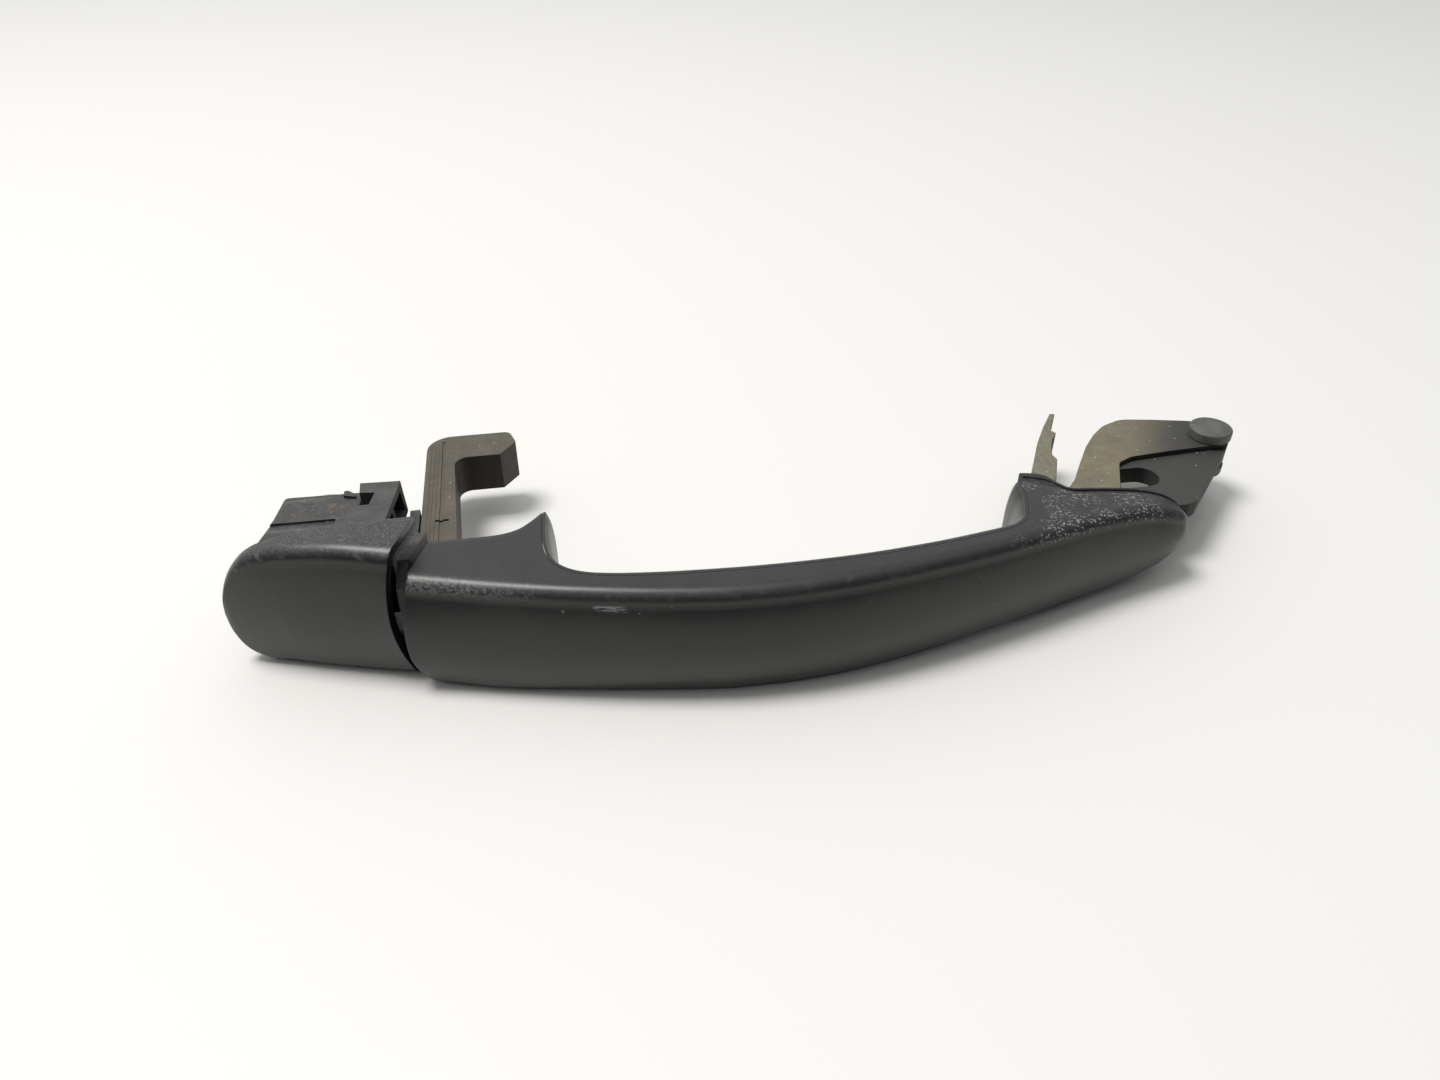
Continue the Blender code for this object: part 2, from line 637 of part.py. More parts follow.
lug_tenon = prism(
    "lug_tenon",
    [(143.0 + lug_shift, -6.6), (150.6 + lug_shift, -6.6), (150.6 + lug_shift, 3.0),
     (143.0 + lug_shift, 3.0)],
    -tenon_half, tenon_half, cutter=True,
)
combine(pivot_lug, lug_tenon, "UNION")
recess_corners = [(150.0, -4.0), (161.2, 19.6), (165.6, 21.7), (171.5, 22.2), (177.2, 22.65), (188.5, 23.2),
                  (206.0, 25.3), (206.0, -4.0)]
recess_outline = [(x + lug_shift, y) for x, y in rounded(recess_corners, [0, 2.4, 6, 0, 0, 0, 0, 0], 3)]
recess_level = lug_half - LUG_RECESS
for name, low, high in (("recess_top", recess_level, 30), ("recess_bottom", -30, -recess_level)):
    recess = prism(name, recess_outline, low, high, cutter=True)
    combine(pivot_lug, recess)
window_corners = [(157.1, 9.9), (169.4, 9.9), (169.4, 18.6), (161.2, 18.6)]
window_outline = [(x + lug_shift, y) for x, y in rounded(window_corners, [0.8, 4.3, 4.3, 0.8], 5)]
window = prism("lug_window", window_outline, -30, 30, cutter=True)
combine(pivot_lug, window)
pin_bore = prism("pin_bore", circle(along(PIN_X), PIN_Y, PIN_SHAFT_RADIUS + GAP, 32), -30, 30, cutter=True)
combine(pivot_lug, pin_bore)
socket = prism(
    "lug_socket",
    [(142.7 + lug_shift, -6.9), (150.9 + lug_shift, -6.9), (150.9 + lug_shift, 9.0),
     (142.7 + lug_shift, 9.0)],
    -tenon_half - GAP, tenon_half + GAP, cutter=True,
)
combine(grip_core, socket)
for name, x in (("lug_dowel_left", 144.9), ("lug_dowel_right", 148.7)):
    length = socket_half - 0.4
    profile = [
        (0, -length), (1.0, -length), (1.2, -length + 0.2),
        (1.2, length - 0.2), (1.0, length), (0, length),
    ]
    turned(name, profile, x + lug_shift, -4.5, steps=16)
    bore = prism(name + "_bore", circle(x + lug_shift, -4.5, 1.2 + GAP, 16), -30, 30, cutter=True)
    combine(grip_core, bore)
    combine(pivot_lug, bore)

head = lug_half + GAP
tip = PIN_LENGTH / 2
pin_profile = [
    (0, -tip), (PIN_HEAD_RADIUS - 0.5, -tip), (PIN_HEAD_RADIUS, -tip + 0.5), (PIN_HEAD_RADIUS, -head),
    (PIN_SHAFT_RADIUS, -head), (PIN_SHAFT_RADIUS, head), (PIN_HEAD_RADIUS, head),
    (PIN_HEAD_RADIUS, tip - 0.5), (PIN_HEAD_RADIUS - 0.5, tip), (0, tip),
]
turned("pivot_pin", pin_profile, along(PIN_X), PIN_Y, steps=40)

# ---- the guide fin ----
fin_outline = [
    (135.2, -4.0), (135.5, 11.9), (136.6, 18.5), (140.2, 25.3), (143.3, 30.9), (148.1, 38.3), (153.0, 45.1),
    (154.6, 45.1), (152.0, 40.7), (149.6, 36.5), (150.5, 35.1), (149.4, 33.5), (148.0, 31.9), (146.2, 28.3),
    (144.8, 24.7), (145.2, 22.5), (143.2, 18.3), (141.2, 14.1), (139.8, 11.3), (139.5, -4.0),
]
fin_shift = along(135) - 135
fin_outline = [(x + fin_shift, y) for x, y in fin_outline]
fin_half = min(FIN_HEIGHT / 2, socket_half - 1.0)
guide_fin = prism("guide_fin", fin_outline, -fin_half, fin_half)
bevel(guide_fin, 0.25, 1)
fin_slot = prism(
    "fin_slot",
    grown([(135.2 + fin_shift, -4.0), (135.5 + fin_shift, 11.9), (139.8 + fin_shift, 11.3),
           (139.5 + fin_shift, -4.0)], GAP),
    -fin_half - GAP, fin_half + GAP, cutter=True,
)
combine(grip_core, fin_slot)

# ---- the seal of the front foot ----
seal_places = [30.15, 30.5, 31, 32, 33, 34, 35, 36, 37, 38, 39, 40, 41, 42, 42.7]
# Y of the seal's back: a collar round the fin, then a lip that stops just short of the seating plane.
seal_back = smooth_curve(
    [(126, 8.9), (128, 9.0), (130.5, 8.8), (133.2, 7.7), (135.0, 4.6), (136.6, 2.0), (138.5, 1.3), (168, 1.3)]
)
points, normals = rear_edge(seal_places)
rings = []
for place, point, normal in zip(seal_places, points, normals):
    tall = float(half_height(back_along(point[0]))) * KZ
    tall = max(0.5, tall - SEAL_INSET * (1 + place / 30))
    near = point + normal * GAP
    far = (point[0] + 0.4, float(seal_back(back_along(point[0]))))
    ring = []
    for n, z in ((0.0, -1.0), (0.75, -1.0), (1.0, -0.93), (1.0, 0.93), (0.75, 1.0), (0.0, 1.0)):
        spot = near + (far - near) * n
        ring.append((spot[0], spot[1], z * tall))
    rings.append(ring)
front_seal = loft("front_seal", rings)
lug_pass = prism(
    "lug_pass",
    [(141.5 + lug_shift, 0.2), (176.0 + lug_shift, 0.2), (176.0 + lug_shift, 20.0),
     (141.5 + lug_shift, 20.0)],
    -lug_half - GAP, lug_half + GAP, cutter=True,
)
combine(front_seal, fin_slot)
combine(front_seal, socket)
combine(front_seal, lug_pass)

# ---- the pad of the rear foot ----
pad_half = inside_half * 0.96
pad_left = hook_foot + GAP
pad_corners = [(pad_left, -pad_half), (4.9, -pad_half), (4.9, pad_half), (pad_left, pad_half)]
pad_outline = rounded(pad_corners, [1.5] * 4, 3)
rear_pad = prism("rear_pad", pad_outline, SEAT_Y - PAD_THICKNESS, SEAT_Y, axis="y")

# ---- the cap ----
CAP_MIDDLE = CAP_HEIGHT / 2 - GRIP_HEIGHT / 2 - BASE_DROP * 0.9
cap_half = smooth_curve(
    [(-58.2, 0.0), (-57.9, 2.9), (-57.1, 5.9), (-55.3, 9.7), (-53.1, 12.1), (-50.5, 13.8), (-47.4, 14.8),
     (-39.6, 15.8), (-28.5, 16.35), (-15, 16.4)]
)
cap_middle = smooth_curve(
    [(-58.2, -1.2), (-56, -0.9), (-53, 0.0), (-50.5, 0.8), (-47.4, 1.5), (-39.6, 2.4), (-28.5, 3.0),
     (-15, 3.1)]
)
cap_front = smooth_curve(
    [(-58.2, 1.9), (-57.4, 1.2), (-55.0, 0.2), (-51.0, -1.2), (-47.4, -2.4), (-39.6, -5.1), (-28.5, -8.7),
     (-19.0, -11.7), (-15, -12.8)]
)
def cap_row(station, inside):
    x = station
    squeeze = 1.0
    if inside and x < -44:
        squeeze = (55.5 - 44) / (58.2 - 44)
    spot = -44 + (x + 44) * squeeze if x < -44 else x
    tall = float(cap_half(x)) * KC
    middle = float(cap_middle(x)) * CAP_MIDDLE / 3.1
    front = float(cap_front(x))
    if inside:
        thin = 1 - WALL / (float(cap_half(-44)) * KC)
        tall = tall * thin if x < -44 else tall - WALL
        share = min(1.0, max(0.0, (x + 58.2) / 14.2))
        front = front + WALL * (0.25 + 0.75 * share)
    back = CAP_BACK
    front = min(front, back - 0.5)
    radius = min(3.4, 0.5 * tall, 0.6 * (back - front))
    if inside:
        radius = min(max(0.4, radius - WALL), 0.5 * tall, 0.45 * (back - front))
    room = tall / 16.4 * min(1.0, (back - front) / 6)
    sides = []
    for setback in (UPPER_SETBACK * room, 0.0):
        crown = 1.2 * room + setback
        crease_y = front + setback
        side = []
        for share in (0.0, 0.34, 0.68):
            side.append((crease_y - crown * (1 - share**2), share * (tall - radius)))
        for k in range(5):
            a = math.pi / 2 * k / 4
            side.append((crease_y + radius * (1 - math.cos(a)), tall - radius + radius * math.sin(a)))
        for share in (0.5, 1.0):
            side.append((crease_y + radius + (back - crease_y - radius) * share, tall))
        sides.append(side)
    upper, lower = sides
    found = []
    for y, z in [(y, -z) for y, z in lower[:0:-1]] + upper:
        z = z + middle
        blend = max(0.0, 1 - (-19.0 - station) / 17) ** 2
        found.append((spot + blend * (joint_x(y, z) + 19.0), y, z))
    return found


cap_stations = [
    -19, -22, -25, -28, -31.5, -35, -38, -41, -44, -46.5, -49, -51, -53, -54.6, -56, -57.1, -57.8, -58.2,
]
cap_outer = np.array([cap_row(station, False) for station in cap_stations])
cap_inner = np.array([cap_row(station, True) for station in cap_stations])
cap_cover = shell_mesh("cap_cover", cap_outer, cap_inner)

# ---- the seal under the cap ----
rim = []
lower = []
for station in cap_stations[:-2]:
    if station > -23:
        continue
    row = cap_row(station, False)
    rim.append((row[-1][0], row[-1][2]))
    lower.append((row[0][0], row[0][2]))
seal_outline = rim + [(-57.6, CAP_MIDDLE * -0.3)] + lower[::-1]
seal_outline = grown(seal_outline, -1.0)
cap_seal = prism("cap_seal", seal_outline, CAP_BACK + GAP, CAP_BACK + GAP + 1.2, axis="y")

# ---- the cylinder housing behind the cap ----
house_front = CAP_BACK + GAP + 1.2 + GAP
housing_outline = rounded(
    [(-51.4, house_front), (-50.6, 13.0), (-48.4, 21.0), (-47.0, HOUSING_DEPTH), (-21.2, HOUSING_DEPTH - 0.8),
     (-21.2, house_front)],
    [0, 8, 8, 1.2, 1.2, 0], 3,
)
cylinder_housing = prism("cylinder_housing", housing_outline, HOUSING_BOTTOM, HOUSING_TOP)
bevel(cylinder_housing, 0.5)
shelf = prism(
    "housing_shelf", [(-31.6, -10.0), (-31.6, 17.9), (-30.4, 19.6), (-29.3, 24.4), (-29.3, 60.0), (0.0, 60.0),
                      (0.0, -10.0)],
    HOUSING_TOP - 4.3, 40, cutter=True,
)
combine(cylinder_housing, shelf)
step = prism(
    "housing_step", [(-60.0, -10.0), (-60.0, 19.4), (-34.2, 19.0), (-34.2, -10.0)],
    HOUSING_TOP - 0.6, 40, cutter=True,
)
combine(cylinder_housing, step)
neck = prism(
    "housing_neck",
    rounded([(-44.5, HOUSING_BOTTOM + 0.6), (-24.0, HOUSING_BOTTOM + 0.6), (-24.0, HOUSING_TOP - 5.4),
             (-33.4, HOUSING_TOP - 5.4), (-33.4, HOUSING_TOP - 1.4), (-44.5, HOUSING_TOP - 1.4)], [2] * 6, 3),
    0.9, house_front + 3.0, axis="y", cutter=True,
)
combine(cylinder_housing, neck, "UNION")
nub = prism(
    "housing_nub", [(-33.2, HOUSING_DEPTH - 2.6), (-30.4, HOUSING_DEPTH - 3.4), (-30.4, HOUSING_DEPTH - 2.4),
                    (-32.2, HOUSING_DEPTH - 0.6), (-33.2, HOUSING_DEPTH - 0.6)],
    HOUSING_TOP - 2.0, HOUSING_TOP + 0.7, cutter=True,
)
combine(cylinder_housing, nub, "UNION")
barrel_x = -37.4
barrel_z = (HOUSING_TOP + HOUSING_BOTTOM) / 2
bore_outline = circle(barrel_x, barrel_z, BARREL_RADIUS + GAP, 36)
barrel_bore = prism("barrel_bore", bore_outline, -40, 80, "y", cutter=True)
combine(cylinder_housing, barrel_bore)
combine(cap_seal, prism(
    "seal_window",
    rounded([(-45.5, HOUSING_BOTTOM - 0.4), (-23.0, HOUSING_BOTTOM - 0.4), (-23.0, HOUSING_TOP - 4.4),
             (-32.4, HOUSING_TOP - 4.4), (-32.4, HOUSING_TOP - 0.4), (-45.5, HOUSING_TOP - 0.4)], [2] * 6, 3),
    -40, 80, "y", cutter=True,
))
barrel_start = 1.4
barrel_end = barrel_start + BARREL_LENGTH
groove = HOUSING_DEPTH + GAP
barrel_profile = [
    (0, barrel_start), (BARREL_RADIUS - 0.6, barrel_start), (BARREL_RADIUS, barrel_start + 0.6),
    (BARREL_RADIUS, groove), (BARREL_RADIUS - 1.2, groove),
    (BARREL_RADIUS - 1.2, groove + CLIP_WIRE + 2 * GAP),
    (BARREL_RADIUS, groove + CLIP_WIRE + 2 * GAP), (BARREL_RADIUS, max(barrel_end, groove + 2.6)),
    (BARREL_RADIUS - 0.5, max(barrel_end, groove + 2.6) + 0.5), (0, max(barrel_end, groove + 2.6) + 0.5),
]
barrel_plug = turned("barrel_plug", barrel_profile, barrel_x, barrel_z, axis="y", steps=36)
clip_in = BARREL_RADIUS - 1.2 + GAP
opening = []
for k in range(25):
    a = math.radians(-125 + 250 * k / 24)
    opening.append((barrel_x + CLIP_RADIUS * math.sin(a), barrel_z + CLIP_RADIUS * math.cos(a)))
for k in range(25):
    a = math.radians(125 - 250 * k / 24)
    opening.append((barrel_x + clip_in * math.sin(a), barrel_z + clip_in * math.cos(a)))
barrel_clip = prism("barrel_clip", opening, groove + GAP, groove + GAP + CLIP_WIRE, axis="y")

# ---- the notched bracket on the housing ----
top = [(-31.5, 5.0), (-30.4, 17.6), (-26.0, 17.4), (-25.0, 22.3), (-28.5, 22.8), (-28.7, 26.9), (-19.5, 26.4),
       (-22.6, 5.0)]
base = [(-31.5, 5.0), (-30.6, 17.6), (-26.0, 17.4), (-25.0, 22.3), (-28.7, 22.8), (-28.9, 27.2),
        (-18.9, 25.6), (-21.2, 5.0)]
bracket_foot = HOUSING_TOP - 4.3 + GAP
snap_bracket = loft(
    "snap_bracket",
    [[(x, y, bracket_foot) for x, y in base], [(x, y, BRACKET_TOP) for x, y in top]],
)
bevel(snap_bracket, 0.3, 1)
rib_gap = prism(
    "bracket_rib_gap", [(-24.6, 8.2), (-24.0, 16.0), (-14.0, 14.6), (-14.0, 8.2)], bracket_foot + 1.2,
    BRACKET_TOP - 1.6, cutter=True,
)
combine(snap_bracket, rib_gap)
rib_gap_back = prism(
    "bracket_rib_gap_back", [(-23.2, 17.2), (-22.6, 24.6), (-14.0, 23.6), (-14.0, 17.2)], bracket_foot + 1.2,
    BRACKET_TOP - 1.6, cutter=True,
)
combine(snap_bracket, rib_gap_back)
screw_x, screw_y = -27.6, 12.4
screw_head = HOUSING_BOTTOM - GAP
screw_tip = BRACKET_TOP - 1.6
screw_profile = [
    (0, screw_head - 1.8), (2.2, screw_head - 1.8), (2.9, screw_head - 1.2), (2.9, screw_head),
    (1.4, screw_head), (1.4, screw_tip - 1.0), (0.5, screw_tip), (0, screw_tip),
]
turned("bracket_screw", screw_profile, screw_x, screw_y, steps=20)
screw_bore = prism("screw_bore", circle(screw_x, screw_y, 1.4 + GAP, 20), -40, screw_tip + GAP, cutter=True)
combine(cylinder_housing, screw_bore)
combine(snap_bracket, screw_bore)
recess_cut = prism(
    "drive_slot",
    [(screw_x - 1.7, screw_y - 0.4), (screw_x + 1.7, screw_y - 0.4), (screw_x + 1.7, screw_y + 0.4),
     (screw_x - 1.7, screw_y + 0.4)],
    -40, screw_head - 1.0, cutter=True,
)
combine(bpy.data.objects["bracket_screw"], recess_cut)

# ---- what turns with the grip hangs from an empty on the pin's axis ----
moving = ("grip_outer_shell", "grip_inner_shell", "grip_core", "end_tongue", "hook_arm", "hook_dowel_front",
          "hook_dowel_rear", "pivot_lug", "lug_dowel_left", "lug_dowel_right", "pivot_pin", "guide_fin",
          "front_seal", "rear_pad")
bpy.context.view_layer.update()
for name in moving:
    obj = bpy.data.objects[name]
    obj.parent = grip_pivot
    obj.matrix_parent_inverse = grip_pivot.matrix_world.inverted()
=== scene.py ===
# Car door handle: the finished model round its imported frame.
# Outlines are in mm, in the same places as the frame's own; meshes are in metres.
import math

import bmesh
import bpy
import numpy as np
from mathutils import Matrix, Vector


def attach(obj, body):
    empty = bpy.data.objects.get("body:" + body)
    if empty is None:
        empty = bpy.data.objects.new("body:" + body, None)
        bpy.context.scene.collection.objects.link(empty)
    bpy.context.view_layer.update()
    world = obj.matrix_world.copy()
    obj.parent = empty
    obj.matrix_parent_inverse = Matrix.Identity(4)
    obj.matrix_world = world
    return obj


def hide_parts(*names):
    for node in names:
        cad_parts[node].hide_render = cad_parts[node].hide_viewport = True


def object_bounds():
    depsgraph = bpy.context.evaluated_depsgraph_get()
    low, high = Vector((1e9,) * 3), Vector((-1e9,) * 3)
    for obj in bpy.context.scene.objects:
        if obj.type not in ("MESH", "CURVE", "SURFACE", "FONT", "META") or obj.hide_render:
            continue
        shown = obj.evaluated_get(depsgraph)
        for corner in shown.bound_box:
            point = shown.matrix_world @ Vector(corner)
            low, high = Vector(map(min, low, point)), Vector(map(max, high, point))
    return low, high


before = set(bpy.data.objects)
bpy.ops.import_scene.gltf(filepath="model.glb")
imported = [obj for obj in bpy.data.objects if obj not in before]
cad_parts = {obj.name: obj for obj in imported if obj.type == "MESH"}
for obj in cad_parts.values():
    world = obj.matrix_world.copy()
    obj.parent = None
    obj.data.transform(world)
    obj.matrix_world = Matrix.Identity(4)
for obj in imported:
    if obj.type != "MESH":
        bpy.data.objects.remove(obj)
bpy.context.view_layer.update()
mm = 0.001
seatY = 1.5  # Y of the seating plane in the outlines
gap = 0.3
wall = 2.4
print("frame loaded:", len(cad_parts), "nodes")


# curves
def smoothCurve(table):
    # monotone cubic through (x, y) rows that holds its end values
    xs = np.array([row[0] for row in table], float)
    ys = np.array([row[1] for row in table], float)
    step = np.diff(xs)
    slope = np.diff(ys) / step
    tangent = np.zeros(len(xs))
    tangent[0] = slope[0]
    tangent[-1] = slope[-1]
    for i in range(1, len(xs) - 1):
        if slope[i - 1] * slope[i] > 0:
            first = 2 * step[i] + step[i - 1]
            second = step[i] + 2 * step[i - 1]
            tangent[i] = (first + second) / (first / slope[i - 1] + second / slope[i])

    def value(x):
        x = np.clip(x, xs[0], xs[-1])
        i = np.clip(np.searchsorted(xs, x, side="right") - 1, 0, len(xs) - 2)
        t = (x - xs[i]) / step[i]
        start = (1 + 2 * t) * (1 - t) ** 2 * ys[i] + t * (1 - t) ** 2 * step[i] * tangent[i]
        end = t * t * (3 - 2 * t) * ys[i + 1] + t * t * (t - 1) * step[i] * tangent[i + 1]
        return start + end

    return value


def through(rows, places):
    # Catmull-Rom through rows, where place 2.5 is halfway from row 2 to row 3
    rows = np.array(rows, float)
    padded = np.vstack([2 * rows[0] - rows[1], rows, 2 * rows[-1] - rows[-2]])
    found = []
    for place in places:
        i = min(int(place), len(rows) - 2)
        t = place - i
        a, b, c, d = padded[i : i + 4]
        found.append(
            0.5 * (2 * b + (c - a) * t + (2 * a - 5 * b + 4 * c - d) * t * t + (3 * b - a - 3 * c + d) * t**3)
        )
    return np.array(found)


def rounded(outline, radii, steps=10):
    # corners replaced by arcs; a radius of 0 keeps the corner
    found = []
    count = len(outline)
    for i, radius in enumerate(radii):
        corner = np.array(outline[i], float)
        before = np.array(outline[i - 1], float) - corner
        after = np.array(outline[(i + 1) % count], float) - corner
        if radius <= 0:
            found.append(tuple(corner))
            continue
        beforeLength = np.linalg.norm(before)
        afterLength = np.linalg.norm(after)
        before = before / beforeLength
        after = after / afterLength
        half = math.acos(max(-1.0, min(1.0, float(before @ after)))) / 2
        reach = min(radius / math.tan(half), 0.49 * beforeLength, 0.49 * afterLength)
        radius = reach * math.tan(half)
        middle = corner + (before + after) / np.linalg.norm(before + after) * radius / math.sin(half)
        first = corner + before * reach - middle
        last = corner + after * reach - middle
        turn = math.atan2(first[0] * last[1] - first[1] * last[0], float(first @ last))
        for k in range(steps + 1):
            c, s = math.cos(turn * k / steps), math.sin(turn * k / steps)
            found.append(tuple(middle + (c * first[0] - s * first[1], s * first[0] + c * first[1])))
    return found


def circle(x, y, radius, count=64):
    turns = [2 * math.pi * i / count for i in range(count)]
    return [(x + radius * math.cos(a), y + radius * math.sin(a)) for a in turns]


# meshes
def addPiece(name, verts, faces, material=None, nearCrease=None, sharp=35):
    mesh = bpy.data.meshes.new(name)
    seated = (np.asarray(verts, float) - (0.0, seatY, 0.0)) * mm
    mesh.from_pydata([tuple(v) for v in seated], [], faces)
    if nearCrease is not None:
        mesh.attributes.new("creaseNearness", "FLOAT", "POINT").data.foreach_set("value", np.asarray(nearCrease, np.float32))
    bm = bmesh.new()
    bm.from_mesh(mesh)
    bmesh.ops.remove_doubles(bm, verts=bm.verts, dist=2e-6)
    bmesh.ops.dissolve_degenerate(bm, dist=1e-7, edges=bm.edges)
    bmesh.ops.recalc_face_normals(bm, faces=bm.faces)
    if bm.calc_volume(signed=True) < 0:
        bmesh.ops.reverse_faces(bm, faces=bm.faces)
    bm.to_mesh(mesh)
    bm.free()
    mesh.shade_smooth()
    mesh.set_sharp_from_angle(angle=math.radians(sharp))
    obj = bpy.data.objects.new(name, mesh)
    bpy.context.scene.collection.objects.link(obj)
    if material:
        mesh.materials.append(material)
    return obj


def gridFaces(rows, columns, start=0, flip=False):
    faces = []
    for i in range(rows - 1):
        for j in range(columns - 1):
            a = start + i * columns + j
            quad = (a, a + 1, a + columns + 1, a + columns)
            faces.append(quad[::-1] if flip else quad)
    return faces


def shellPiece(name, outer, inner, material, nearCrease=None):
    # a wall between two grids, with rims on three sides; the last row closes to a ridge
    rows, columns = outer.shape[:2]
    size = rows * columns
    verts = np.vstack([outer.reshape(-1, 3), inner.reshape(-1, 3)])
    faces = gridFaces(rows, columns) + gridFaces(rows, columns, size, True)
    for j in range(columns - 1):
        faces.append((j, size + j, size + j + 1, j + 1))
    last = columns - 1
    for i in range(rows - 1):
        near = i * columns
        far = (i + 1) * columns
        faces.append((near, far, size + far, size + near))
        faces.append((near + last, size + near + last, size + far + last, far + last))
    return addPiece(name, verts, faces, material, nearCrease)


def loft(name, rings, material=None):
    rings = np.asarray(rings, float)
    count, around = rings.shape[:2]
    faces = []
    for i in range(count - 1):
        for j in range(around):
            a = i * around + j
            b = i * around + (j + 1) % around
            faces.append((a, b, b + around, a + around))
    faces.append(tuple(range(around))[::-1])
    faces.append(tuple((count - 1) * around + j for j in range(around)))
    return addPiece(name, rings.reshape(-1, 3), faces, material)


def prism(name, outline, low, high, material=None, axis="z"):
    rings = []
    for level in (low, high):
        if axis == "z":
            rings.append([(x, y, level) for x, y in outline])
        else:
            rings.append([(x, level, z) for x, z in outline])
    return loft(name, rings, material)


def turned(name, profile, x, y, material, steps=96):
    # a profile of (radius, z) rows turned round an upright axis
    rings = []
    for radius, z in profile:
        rings.append([(x + radius * math.cos(2 * math.pi * k / steps),
                       y + radius * math.sin(2 * math.pi * k / steps), z) for k in range(steps)])
    return loft(name, rings, material)


def cut(obj, *others, operation="DIFFERENCE"):
    for other in others:
        modifier = obj.modifiers.new(other.name, "BOOLEAN")
        modifier.operation = operation
        modifier.solver = "EXACT"
        modifier.object = other


def softenEdges(obj, width, segments=3, angle=35):
    modifier = obj.modifiers.new("softEdges", "BEVEL")
    modifier.width = width * mm
    modifier.segments = segments
    modifier.limit_method = "ANGLE"
    modifier.angle_limit = math.radians(angle)
    modifier.harden_normals = False


def settled(obj, helpers=(), sharp=35, weighted=True):
    # the modifiers' result as a plain mesh; the helpers go
    if weighted:
        obj.modifiers.new("flatFaces", "WEIGHTED_NORMAL").keep_sharp = True
    graph = bpy.context.evaluated_depsgraph_get()
    mesh = bpy.data.meshes.new_from_object(obj.evaluated_get(graph))
    obj.modifiers.clear()
    old = obj.data
    obj.data = mesh
    mesh.name = obj.name
    bpy.data.meshes.remove(old)
    for helper in helpers:
        bpy.data.objects.remove(helper)
    if not weighted:
        mesh.shade_smooth()
        mesh.set_sharp_from_angle(angle=math.radians(sharp))
    return obj


def fit(obj, body, slot, *nodes):
    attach(obj, body)
    if nodes:
        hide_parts(*nodes)
    return obj


def refined(node, name, material, body, slot, sharp=32):
    # the frame's own shape with its triangles joined, so that round faces shade smooth
    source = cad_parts[node]
    bm = bmesh.new()
    bm.from_mesh(source.data)
    bmesh.ops.remove_doubles(bm, verts=bm.verts, dist=2e-6)
    bmesh.ops.dissolve_limit(bm, angle_limit=math.radians(0.6), verts=bm.verts, edges=bm.edges)
    mesh = bpy.data.meshes.new(name)
    bm.to_mesh(mesh)
    bm.free()
    mesh.materials.append(material)
    mesh.shade_smooth()
    mesh.set_sharp_from_angle(angle=math.radians(sharp))
    obj = bpy.data.objects.new(name, mesh)
    bpy.context.scene.collection.objects.link(obj)
    return fit(obj, body, slot, node)


# geometry trees, with their sizes as named inputs
def geometryTree(name, inputs):
    group = bpy.data.node_groups.new(name, "GeometryNodeTree")
    group.interface.new_socket("Geometry", in_out="OUTPUT", socket_type="NodeSocketGeometry")
    group.interface.new_socket("Geometry", in_out="INPUT", socket_type="NodeSocketGeometry")
    for label, kind in inputs.items():
        group.interface.new_socket(label, in_out="INPUT", socket_type="NodeSocket" + kind)
    given = group.nodes.new("NodeGroupInput")
    result = group.nodes.new("NodeGroupOutput")

    def add(kind, values, output=0, **settings):
        made = group.nodes.new("GeometryNode" + kind)
        for key, value in settings.items():
            setattr(made, key, value)
        for key, value in values.items():
            if isinstance(value, bpy.types.NodeSocket):
                group.links.new(value, made.inputs[key])
            else:
                made.inputs[key].default_value = value
        return made.outputs[output]

    def close(geometry):
        plain = add("RealizeInstances", {"Geometry": geometry})
        group.links.new(add("SetMaterial", {"Geometry": plain, "Material": given.outputs["Material"]}),
                        result.inputs[0])
        return group

    return given.outputs, add, close


def grownBy(obj, group, **values):
    modifier = obj.modifiers.new(group.name, "NODES")
    modifier.node_group = group
    for item in group.interface.items_tree:
        if item.in_out == "INPUT" and item.name in values:
            modifier[item.identifier] = values[item.name]
    return settled(obj, weighted=False)


def ribTree():
    # bars in a row, and the row again on the far side
    given, add, close = geometryTree("ribRow", {"Count": "Int", "Start": "Vector", "Step": "Vector",
                                                "Across": "Vector", "Size": "Vector", "Material": "Material"})
    row = add("MeshLine", {"Count": given["Count"], "Start Location": given["Start"], "Offset": given["Step"]})
    bar = add("MeshCube", {"Size": given["Size"]})
    near = add("InstanceOnPoints", {"Points": row, "Instance": bar})
    sides = add("MeshLine", {"Count": 2, "Offset": given["Across"]})
    return close(add("InstanceOnPoints", {"Points": sides, "Instance": near}))


def beadTree():
    # a round bead along the object's own line of edges
    given, add, close = geometryTree("bead", {"Radius": "Float", "Material": "Material"})
    path = add("MeshToCurve", {"Mesh": given["Geometry"]})
    ring = add("CurvePrimitiveCircle", {"Radius": given["Radius"], "Resolution": 12})
    return close(add("CurveToMesh", {"Curve": path, "Profile Curve": ring, "Fill Caps": True}))


ribRow = ribTree()
beadRow = beadTree()


# shader maths
class Sock:
    def __init__(self, graph, socket):
        self.graph = graph
        self.socket = socket

    def calc(self, operation, *values):
        return self.graph.node("ShaderNodeMath", {"operation": operation}, values)

    def __add__(self, other):
        return self.calc("ADD", self, other)

    def __radd__(self, other):
        return self.calc("ADD", other, self)

    def __sub__(self, other):
        return self.calc("SUBTRACT", self, other)

    def __rsub__(self, other):
        return self.calc("SUBTRACT", other, self)

    def __mul__(self, other):
        return self.calc("MULTIPLY", self, other)

    def __rmul__(self, other):
        return self.calc("MULTIPLY", other, self)

    def most(self, other):
        return self.calc("MAXIMUM", self, other)

    def between(self, low, high):
        # 0 at low and 1 at high, eased
        return self.graph.node("ShaderNodeMapRange", {"interpolation_type": "SMOOTHSTEP"},
                               {"Value": self, "From Min": low, "From Max": high})


